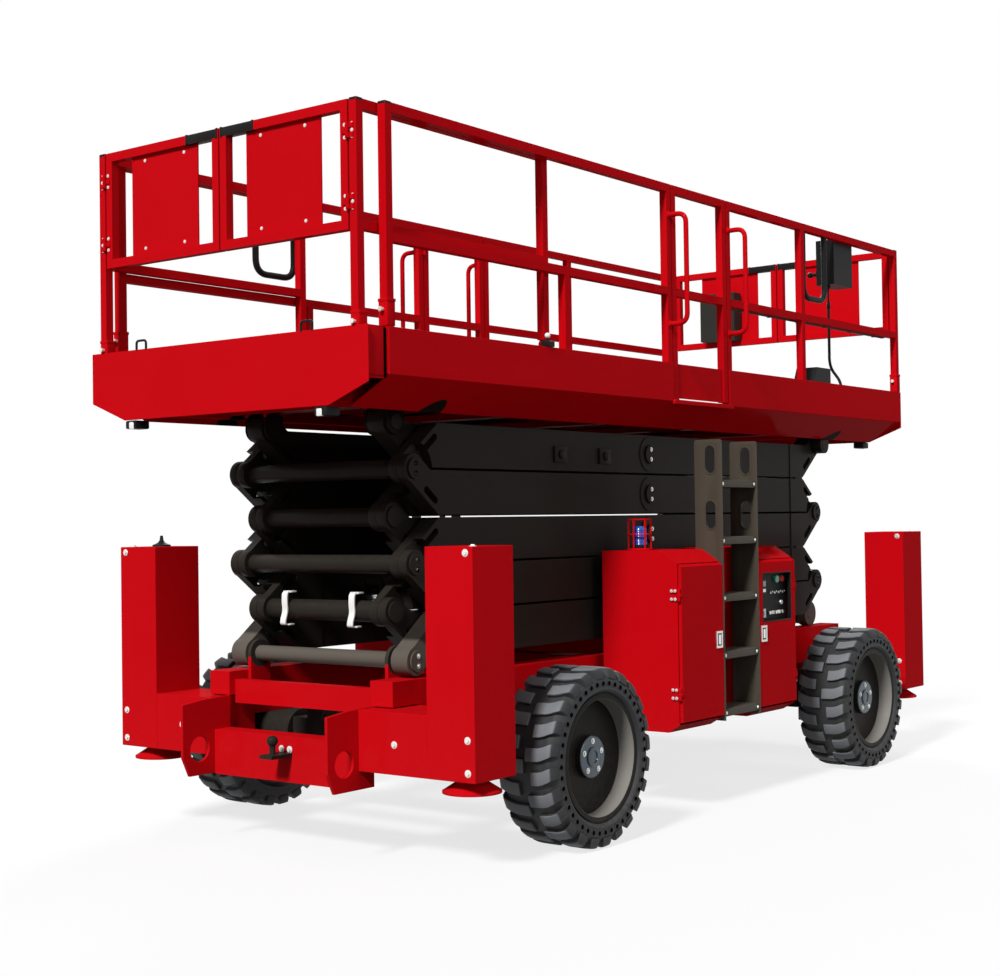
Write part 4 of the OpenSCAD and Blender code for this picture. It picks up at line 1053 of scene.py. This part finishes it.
# %% Chequer plate
LOZENGES = (81, 25)
LOZENGE_SLIM = 0.32
FLOOR_HALF_SIZE = (2.455, 0.755)
FLOOR_AT = (0.055, 0, 2.0618)
CHEQUER, start, end = tree_with("chequer_plate", (
    ("Length", "NodeSocketFloat", 4.9), ("Width", "NodeSocketFloat", 1.5),
    ("Along", "NodeSocketInt", LOZENGES[0]), ("Across", "NodeSocketInt", LOZENGES[1]),
    ("Finish", "NodeSocketMaterial", None)))
field = CHEQUER.nodes.new("GeometryNodeMeshGrid")
lozenge = CHEQUER.nodes.new("GeometryNodeMeshCone")
lozenge.inputs["Vertices"].default_value = 6
lozenge.inputs["Radius Bottom"].default_value = 0.021
lozenge.inputs["Radius Top"].default_value = 0.013
lozenge.inputs["Depth"].default_value = 0.002
index = CHEQUER.nodes.new("GeometryNodeInputIndex")
odd = CHEQUER.nodes.new("ShaderNodeMath")
odd.operation = "MODULO"
odd.inputs[1].default_value = 2
lean = CHEQUER.nodes.new("ShaderNodeMath")
lean.operation = "MULTIPLY_ADD"
lean.inputs[1].default_value = math.pi / 2
lean.inputs[2].default_value = math.pi / 4
spin = CHEQUER.nodes.new("ShaderNodeCombineXYZ")
lay = CHEQUER.nodes.new("GeometryNodeInstanceOnPoints")
lay.inputs["Scale"].default_value = (1, LOZENGE_SLIM, 1)
real = CHEQUER.nodes.new("GeometryNodeRealizeInstances")
both = CHEQUER.nodes.new("GeometryNodeJoinGeometry")
paint = CHEQUER.nodes.new("GeometryNodeSetMaterial")
for source, target in (
        (start.outputs["Length"], field.inputs["Size X"]), (start.outputs["Width"], field.inputs["Size Y"]),
        (start.outputs["Along"], field.inputs["Vertices X"]),
        (start.outputs["Across"], field.inputs["Vertices Y"]),
        (field.outputs["Mesh"], lay.inputs["Points"]), (lozenge.outputs["Mesh"], lay.inputs["Instance"]),
        (index.outputs[0], odd.inputs[0]), (odd.outputs[0], lean.inputs[0]),
        (lean.outputs[0], spin.inputs["Z"]),
        (spin.outputs[0], lay.inputs["Rotation"]), (lay.outputs[0], real.inputs[0]),
        (real.outputs[0], both.inputs[0]), (start.outputs["Geometry"], both.inputs[0]),
        (both.outputs[0], paint.inputs["Geometry"]), (start.outputs["Finish"], paint.inputs["Material"]),
        (paint.outputs[0], end.inputs["Geometry"])):
    CHEQUER.links.new(source, target)
plate_mesh = bpy.data.meshes.new("floor_plate")
bm = bmesh.new()
half_x, half_y = FLOOR_HALF_SIZE
add_block(bm, (-half_x, -half_y, -0.0014), (half_x, half_y, 0.0002), 0.0004)
bm.to_mesh(plate_mesh)
bm.free()
deck_mesh = run_tree(CHEQUER, plate_mesh, {"Finish": TREAD_STEEL})
deck_mesh.transform(Matrix.Translation(FLOOR_AT))
finish_piece("floor_tread", deck_mesh, "platform", [TREAD_STEEL])
print("lozenges:", LOZENGES[0] * LOZENGES[1])

# %% [markdown]
# The end leaves are small gates with a sheet panel. Their hinges show as two columns of bright heads, the
# panels are held by a few more, and a soft black sleeve covers the middle of the top rail where hands go.
# The sleeve is in two halves, one on each leaf, because the leaves swing apart.

# %% Leaves of the end rails
TOP = 3.160
HINGE_Z = (2.742, 3.030)
HINGE_FACE_X = 2.5455
PANEL_FACE_X = 2.528
LEAF_X = 2.525
LEAF_BOLT_R = 0.0052
SLEEVE_Y = (0.006, 0.215)
SLEEVE_HALF = 0.0222
COLLAR_HALF = 0.0232
for end_name, end_sign, carrier, hinge_y in (("rear", -1, "roll_out_deck", 0.756),
                                             ("front", 1, "platform", 0.804)):
    outwards = (end_sign, 0, 0)
    post_bolts = []
    for side_name, side_sign in SIDES:
        where = end_name + "_" + side_name
        leaf = end_name + "_leaf_" + side_name
        leaf_bolts = []
        for z in HINGE_Z:
            for step in (-0.026, 0.0, 0.026):
                x = end_sign * HINGE_FACE_X
                post_bolts.append(((x, side_sign * (hinge_y + 0.022), z + step), outwards))
                leaf_bolts.append(((x, side_sign * (hinge_y - 0.018), z + step), outwards))
        for y in (0.240, 0.500):
            for z in (2.700, 3.095):
                leaf_bolts.append(((end_sign * PANEL_FACE_X, side_sign * y, z), outwards))
        bolt_set("leaf_bolts_" + where, leaf, leaf_bolts, LEAF_BOLT_R, WHITE_CAP, sides=10)

        def sleeve(bm):
            x = end_sign * LEAF_X
            mid_z = TOP - 0.020
            for half, ys, edge in ((SLEEVE_HALF, SLEEVE_Y, 0.010), (COLLAR_HALF, (0.009, 0.019), 0.003),
                                   (COLLAR_HALF, (0.201, 0.211), 0.003)):
                add_side_block(bm, side_sign, (x - half, x + half), ys, (mid_z - half, mid_z + half), edge)
        make_piece("grip_sleeve_" + where, leaf, [PLASTIC], sleeve)
    bolt_set("post_hinge_bolts_" + end_name, carrier, post_bolts, LEAF_BOLT_R, WHITE_CAP,
             sides=10)
print("sleeves: 4, in halves")

# %% [markdown]
# The grab handles beside the gates and the black loops under the top rail are bent tube. A tube along a
# path with rounded corners gives the true bends, where the solids have plain bars. The black conduit
# clipped inside the right mid rail goes into the rail at both ends.

# %% Bent handles, loops and conduit
grab_low, grab_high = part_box("grab_handles")
GRAB_SOLID_R = 0.016
GRAB_TUBE_R = 0.013
GRAB_BEND = 0.085
GRAB_OUT = 0.122
RAIL_HALF = 0.020
grab_y = grab_high[1] - GRAB_SOLID_R
POST_Y = grab_y - GRAB_OUT
MID_Z = grab_low[2] + 0.199


def grabs(bm):
    top, bottom = grab_high[2] - 0.030, grab_low[2] + 0.029
    for side_sign in (-1, 1):
        for x in (grab_low[0] + GRAB_SOLID_R, grab_high[0] - GRAB_SOLID_R):
            root = side_sign * (POST_Y + RAIL_HALF - 0.004)
            out = side_sign * grab_y
            path = [(x, root, top), (x, out, top), (x, out, bottom), (x, root, bottom)]
            add_tube(bm, round_path(path, GRAB_BEND, 10), GRAB_TUBE_R, 14)
            for z in (top, bottom):
                add_turned(bm, ((0.020, 0.0), (0.020, 0.003), (0.015, 0.007), (0.0125, 0.007)),
                           (x, side_sign * (POST_Y + RAIL_HALF), z), (0, side_sign, 0))


handles = make_piece("bent_grab_handles", "platform", [RED], grabs)
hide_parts("grab_handles")

loop_low, loop_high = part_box("rail_loops")
LOOP_WIDE = 0.308
LOOP_R = 0.017
LOOP_BEND = 0.080


def loops(bm):
    top, bottom = loop_high[2] + 0.004, loop_low[2] + LOOP_R
    for x0, y in ((loop_low[0], POST_Y), (loop_high[0] - LOOP_WIDE, -POST_Y)):
        xa, xb = x0 + LOOP_R, x0 + LOOP_WIDE - LOOP_R
        path = [(xa, y, top), (xa, y, bottom), (xb, y, bottom), (xb, y, top)]
        add_tube(bm, round_path(path, LOOP_BEND, 10), LOOP_R, 16)


padded = make_piece("hanging_loops", "platform", [PLASTIC], loops, smooth=50)
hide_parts("rail_loops")

CONDUIT_R = 0.008
CONDUIT_X = (0.395, 2.440)
CLIPS = 6
CLIP_PITCH = 0.345
conduit_y = -(POST_Y - RAIL_HALF - CONDUIT_R)


def conduit(bm):
    z, inside = MID_Z - RAIL_HALF, -(POST_Y - RAIL_HALF + 0.010)
    (xa, xb), up = CONDUIT_X, MID_Z - 0.006
    path = [(xa, inside, up), (xa + 0.03, conduit_y, z), (xb - 0.03, conduit_y, z), (xb, inside, up)]
    add_tube(bm, round_path(path, 0.03), CONDUIT_R, 12)
    for k in range(CLIPS):
        x = xa + 0.15 + k * CLIP_PITCH
        add_block(bm, (x - 0.007, -(POST_Y - RAIL_HALF + 0.0005), z - CONDUIT_R - 0.002),
                  (x + 0.007, conduit_y + CONDUIT_R + 0.002, z + CONDUIT_R + 0.014), 0.002)


make_piece("rail_conduit", "platform", [PLASTIC], conduit, smooth=50)
print("handles: 4, loops: 2, conduit clips:", CLIPS)

# %% [markdown]
# The roll-out deck's end plate is folded back at both sides, so that no gap shows beside the fixed side
# plates. Each fold is a plate with a narrow top flange, a floor strip and a black rubber lip along its rear
# edge. The corner posts stand in sockets with a cross pin, because the rails can be taken off.

# %% End plate folds and post sockets
FLOOR_Z = 2.062
TOE_Z = 2.245
MAIN_POSTS = [(x, s * 0.828) for x in (-2.405, 2.525) for s in (-1, 1)]
CROSS_PIN = ((0.0, 0.0), (0.007, 0.0), (0.007, 0.014), (0.010, 0.016), (0.010, 0.022), (0.0, 0.023))


def end_folds(bm):
    far, near = -2.5455, -2.440
    for side_sign in (-1, 1):
        for xs, ys, zs, material, edge in (
                ((far, near), (0.838, 0.842), (FLOOR_Z - 0.030, TOE_Z - 0.004), 0, 0.0015),
                ((far, near), (0.806, 0.842), (TOE_Z - 0.004, TOE_Z), 0, 0.0015),
                ((-2.444, -2.431), (0.834, 0.845), (FLOOR_Z - 0.028, TOE_Z - 0.004), 1, 0.003),
                ((far, -2.431), (0.600, 0.842), (FLOOR_Z - 0.022, FLOOR_Z - 0.016), 0, 0.0015)):
            add_side_block(bm, side_sign, xs, ys, zs, edge, material)


make_piece("end_plate_folds", "roll_out_deck", [RED, BLACK_RUBBER_AND_PAINTED_HOLE_SHADE], end_folds)


def sockets(name, body, spots, z0, z1):
    def build(bm):
        for x, y in spots:
            add_block(bm, (x - 0.0245, y - 0.0245, z0), (x + 0.0245, y + 0.0245, z1), 0.004, 0)
            add_block(bm, (x - 0.0265, y - 0.0265, z1 - 0.014), (x + 0.0265, y + 0.0265, z1), 0.003, 0)
            add_turned(bm, CROSS_PIN, (x - 0.022, y, z1 - 0.045), (-1, 0, 0), 14, 1)
    make_piece(name, body, [RED, WHITE_CAP], build)


sockets("post_sockets_main", "platform", MAIN_POSTS, TOE_Z + 0.002, TOE_Z + 0.115)
sockets("post_sockets_roll_out", "roll_out_deck", [(-2.5195, s * 0.780) for s in (-1, 1)],
        TOE_Z + 0.002, TOE_Z + 0.060)
print("folds: 2, sockets: 6")

# %% [markdown]
# Open tube ends are closed with black plastic caps. Each is a shallow moulded lid with rounded edges that
# sits on its post, so it is a block on the post's own place.

# %% Post caps
CAP_HALF = 0.0205


def caps(name, body, spots):
    def build(bm):
        for x, y in spots:
            add_block(bm, (x - CAP_HALF, y - CAP_HALF, TOP - 0.012),
                      (x + CAP_HALF, y + CAP_HALF, TOP + 0.004), 0.005)
    make_piece(name, body, [PLASTIC], build)


caps("post_caps_main", "platform", MAIN_POSTS)
caps("post_caps_roll_out", "roll_out_deck", [(-2.5248, s * 0.780) for s in (-1, 1)])
print("caps: 6")

# %% [markdown]
# Under the slanted corners of both end plates hangs a black lamp block with a white lens. The rear top
# edge carries small black hoops for pulling the roll-out deck, bent from round bar. A lock with a white
# ball knob on each toe board holds that deck. Blocks, tubes and turned shapes are enough for all of them.

# %% Lamp blocks, hoops and the deck lock
for end_name, end_sign, carrier in (("rear", -1, "roll_out_deck"), ("front", 1, "platform")):
    def lamps(bm):
        for side_sign in (-1, 1):
            body_x = sorted((end_sign * 2.552, end_sign * 2.470))
            lens_x = sorted((end_sign * 2.5535, end_sign * 2.535))
            add_side_block(bm, side_sign, body_x, (0.555, 0.625), (1.8905, 1.9285), 0.008, 0)
            add_side_block(bm, side_sign, lens_x, (0.567, 0.600), (1.8890, 1.9220), 0.006, 1)
    make_piece("lamp_blocks_" + end_name, carrier, [PLASTIC, WHITE], lamps)


HOOP_X = -2.548
HOOP_Z = (2.240, 2.284)


def hoops(bm):
    low_z, high_z = HOOP_Z
    for y in (0.515, -0.515):
        path = [(HOOP_X, y - 0.032, low_z), (HOOP_X, y - 0.032, high_z),
                (HOOP_X, y + 0.032, high_z), (HOOP_X, y + 0.032, low_z)]
        add_tube(bm, round_path(path, 0.016), 0.0055)


make_piece("pull_hoops", "roll_out_deck", [PLASTIC], hoops)


KNOB_R = 0.0135
LOCK_X = -1.315


def deck_lock(bm):
    ball = [(KNOB_R * math.sin(a), KNOB_R * (1 - math.cos(a))) for a in [math.pi * k / 8 for k in range(9)]]
    for side_sign in (-1, 1):
        add_side_block(bm, side_sign, (-1.345, -1.285), (0.822, 0.862), (2.2452, 2.272), 0.005, 0)
        y = side_sign * 0.842
        add_turned(bm, ((0.007, 0.0), (0.007, 0.018)), (LOCK_X, y, 2.270), (0, 0, 1), 12, 0)
        add_turned(bm, ball, (LOCK_X, y, 2.284), (0, 0, 1), 16, 1)


make_piece("deck_lock_pins", "platform", [PLASTIC, WHITE], deck_lock)
print("lamp blocks: 4, hoops: 2, lock pins: 2")

# %% [markdown]
# White bent straps sit in front of a low cross tube. Each is a flat strap that comes forward at the top,
# follows the tube's front, and turns back at the bottom, with a flat foot at each end.

# %% Hose straps


def straps(bm):
    for y in (-0.222, 0.199):
        path = [(-1.930, y, 1.1385), (-1.979, y, 1.1385), (-1.9815, y, 1.090), (-1.9765, y, 1.050),
                (-1.9875, y + 0.004, 1.010), (-1.9875, y + 0.006, 0.9875), (-1.940, y + 0.006, 0.9875)]
        add_tube(bm, round_path(path, 0.018), 0, flat=(0.017, 0.003, (0, 1, 0)))
        add_block(bm, (-1.965, y - 0.026, 1.1345), (-1.928, y + 0.026, 1.1425), 0.002)
        add_block(bm, (-1.970, y - 0.020, 0.984), (-1.938, y + 0.032, 0.991), 0.002)


strap_piece = make_piece("hose_straps", "inner_arms_2", [WHITE], straps)
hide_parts("hose_clips")
print("straps: 2")

# %% [markdown]
# The ground controls sit behind a window in the front right door. They are a grey meter plate, a green
# button, a few toggles and a blue and a white connector.

# %% Ground controls
PANEL_Y = -1.034


def ground_controls(bm):
    def slab(x0, x1, z0, z1, lift, material, edge=0.003):
        add_block(bm, (x0, PANEL_Y - lift, z0), (x1, PANEL_Y + 0.001, z1), edge, material)

    def knob(x, z, radius, lift, material, steps=20):
        add_turned(bm, ((radius, 0.0), (radius, lift * 0.7), (radius * 0.85, lift), (0.0, lift)),
                   (x, PANEL_Y, z), (0, -1, 0), steps, material)
    slab(0.262, 0.360, 1.045, 1.125, 0.008, 0)
    slab(0.274, 0.348, 1.085, 1.115, 0.010, 1)
    slab(0.274, 0.348, 1.055, 1.073, 0.010, 3)
    knob(0.470, 1.120, 0.021, 0.014, 4)
    knob(0.530, 1.120, 0.017, 0.014, 5)
    for x in (0.410, 0.455, 0.500, 0.545):
        knob(x, 1.050, 0.008, 0.006, 3, 12)
        add_turned(bm, ((0.004, 0.0), (0.005, 0.016), (0.0, 0.018)), (x, PANEL_Y, 1.050), (0, -1, 0.4), 10, 3)
    slab(0.280, 0.345, 0.920, 0.968, 0.010, 2)
    knob(0.300, 0.944, 0.016, 0.018, 6)
    for k in range(5):
        slab(0.380 + k * 0.035, 0.402 + k * 0.035, 0.935, 0.953, 0.012, 2 if k % 2 else 3)
    knob(0.520, 0.995, 0.014, 0.012, 3)


make_piece("ground_controls", "base",
           [BOX_GREY, GLASSY, WHITE, ZINC, GREEN, STOP_RED, BLUE], ground_controls)


def window_edging(bm):
    x0, x1, z0, z1, y0, y1 = 0.253, 0.571, 0.901, 1.160, -1.0755, -1.0545
    for low, high in (((x0, y0, z0), (x1, y1, z0 + 0.006)), ((x0, y0, z1 - 0.006), (x1, y1, z1)),
                      ((x0, y0, z0 + 0.006), (x0 + 0.006, y1, z1 - 0.006)),
                      ((x1 - 0.006, y0, z0 + 0.006), (x1, y1, z1 - 0.006))):
        add_block(bm, low, high, 0.002)


make_piece("window_edging", "door_front_right", [PLASTIC], window_edging)
print("ground controls made")

# %% [markdown]
# The platform controls hang inside the right rail. The box gets a face plate with a joystick in a bellows
# boot, two rows of keys, a red stop button and a small screen. Turned shapes make the boot and the button,
# because both are round.

# %% Platform controls
CTL_X = 1.7124
CTL_Y = -0.690
CTL_Z = 2.862
KEY_PITCH = 0.022
STOP_BUTTON = ((0.026, 0.0), (0.026, 0.010), (0.020, 0.012), (0.023, 0.018), (0.023, 0.026), (0.0, 0.028))
BOOT_AND_STICK = ((0.034, 0.0), (0.034, 0.006), (0.029, 0.009), (0.032, 0.014), (0.025, 0.018),
                  (0.027, 0.023), (0.019, 0.027), (0.021, 0.032), (0.011, 0.036), (0.010, 0.062),
                  (0.016, 0.066), (0.018, 0.080), (0.014, 0.090), (0.0, 0.092))


def platform_controls(bm):
    face_y = CTL_Y + 0.0015

    def slab(x0, x1, z0, z1, lift, material, edge=0.002):
        add_block(bm, (CTL_X + x0, face_y - 0.003, CTL_Z + z0),
                  (CTL_X + x1, face_y + lift, CTL_Z + z1), edge, material)
    slab(0.012, 0.240, 0.014, 0.258, 0.0035, 0, 0.004)
    slab(0.030, 0.120, 0.165, 0.240, 0.006, 1)
    for z in (0.205, 0.172):
        for k in range(4):
            slab(0.140 + k * KEY_PITCH, 0.156 + k * KEY_PITCH, z, z + 0.020, 0.008, 2)
    add_turned(bm, STOP_BUTTON, (CTL_X + 0.186, face_y, CTL_Z + 0.085), (0, 1, 0), 20, 3)
    add_turned(bm, BOOT_AND_STICK, (CTL_X + 0.075, face_y, CTL_Z + 0.080), (0, 1, 0), 20, 2)


make_piece("platform_controls", "platform", [BOX_GREY, GLASSY, PLASTIC, STOP_RED],
           platform_controls)


def lead_gland(bm):
    """A hexagon nut under the box and ribs on the collar that the lead leaves from."""
    add_turned(bm, ((0.015, 0.0), (0.015, 0.012), (0.010, 0.020), (0.0065, 0.026)),
               (lead_exit.x, lead_exit.y, CTL_Z - 0.0002), (0, 0, -1), 6)
    for k in range(4):
        rib = [(radius - k * 0.0008, reach)
               for radius, reach in ((0.0128, 0.0), (0.0142, 0.002), (0.0125, 0.004))]
        add_turned(bm, rib, (lead_exit.x, lead_exit.y, lead_exit.z + 0.004 + k * 0.008), (0, 0, 1), 20)


make_piece("lead_gland", "platform", [PLASTIC], lead_gland)
print("platform controls made")

# %% [markdown]
# On the top pair of arms sit small square stop brackets with a round boss, and the arm pins are held by
# pairs of bolts. They break up the long plain arms as on the real stack, and ride on their own arms.

# %% Arm brackets and pin bolts
ARM_FACE_Y = 0.5455
PIN_FACE_Y = 0.5605
LEVEL_RISE = 0.211


def brackets(bm):
    for side_sign in (-1, 1):
        for x in (-0.82, -0.43):
            add_side_block(bm, side_sign, (x - 0.052, x + 0.052), (ARM_FACE_Y - 0.001, ARM_FACE_Y + 0.012),
                           (1.735, 1.815), 0.004)
            add_turned(bm, ((0.022, 0.0), (0.022, 0.010), (0.017, 0.013), (0.0, 0.013)),
                       (x, side_sign * (ARM_FACE_Y + 0.011), 1.775), (0, side_sign, 0), 20)


make_piece("stop_brackets", "outer_arms_5", [BLACK], brackets)
for k in range(1, 6):
    z0 = LOW_PIN_Z + (k - 1) * LEVEL_RISE
    rise = 1 if k % 2 else -1
    spots = []
    for side_sign in (-1, 1):
        for x_sign in (-1, 1):
            z = z0 + (LEVEL_RISE if x_sign * rise > 0 else 0.0)
            if k == 5 and x_sign * rise > 0:
                continue
            for dz in (-0.022, 0.022):
                spots.append(((x_sign * PIN_X, side_sign * PIN_FACE_Y, z + dz), (0, side_sign, 0)))
        for dz in (0.026, -0.026):
            spots.append(((0.0, side_sign * PIN_FACE_Y, z0 + LEVEL_RISE / 2 + dz), (0, side_sign, 0)))
    bolt_set("pin_bolts_%d" % k, "outer_arms_%d" % k, spots, 0.008, ZINC)
print("stop brackets: 4")

# %% [markdown]
# The beacon's lens is a ribbed blue moulding. Its ribs are turned with the shape, so light breaks into
# bands as it does on the real lamp. The tow-ball bracket gets its bolts, and one tower its black vent cap.

# %% Beacon lens, tow bolts and vent cap
BEACON_AT = (-0.436, -0.760)
LENS_RIBS = 9
RIB_PITCH = 0.009
TOW_BOLTS = [((-2.2035, y, 0.455), (-1, 0, 0)) for y in (-0.045, 0.005)]
VENT_CAP = ((0.045, 0.0), (0.044, 0.008), (0.020, 0.018), (0.010, 0.030), (0.007, 0.052), (0.0, 0.055))


def lens(bm):
    x, y = BEACON_AT
    profile = [(0.0362, 0.0)]
    for k in range(LENS_RIBS):
        profile += [(0.0372, 0.004 + k * RIB_PITCH), (0.0352, 0.0085 + k * RIB_PITCH)]
    profile += [(0.034, 0.084), (0.026, 0.094), (0.0, 0.097)]
    add_turned(bm, profile, (x, y, 1.3212), (0, 0, 1), 32, 0)
    add_turned(bm, ((0.045, 0.0), (0.045, 0.012), (0.040, 0.016), (0.0365, 0.017)), (x, y, 1.3054),
               (0, 0, 1), 32, 1)


lens_piece = make_piece("beacon_lens", "base", [BLUE, PLASTIC], lens)
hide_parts("beacon")
bolt_set("tow_bolt", "base", TOW_BOLTS, 0.011, WHITE_CAP, sides=10)


def vent_cap(bm):
    add_turned(bm, VENT_CAP, (-2.060, 0.960, 1.3505), (0, 0, 1), 20)


make_piece("vent_cap", "base", [PLASTIC], vent_cap)
print("pieces in all:", len(PIECES))
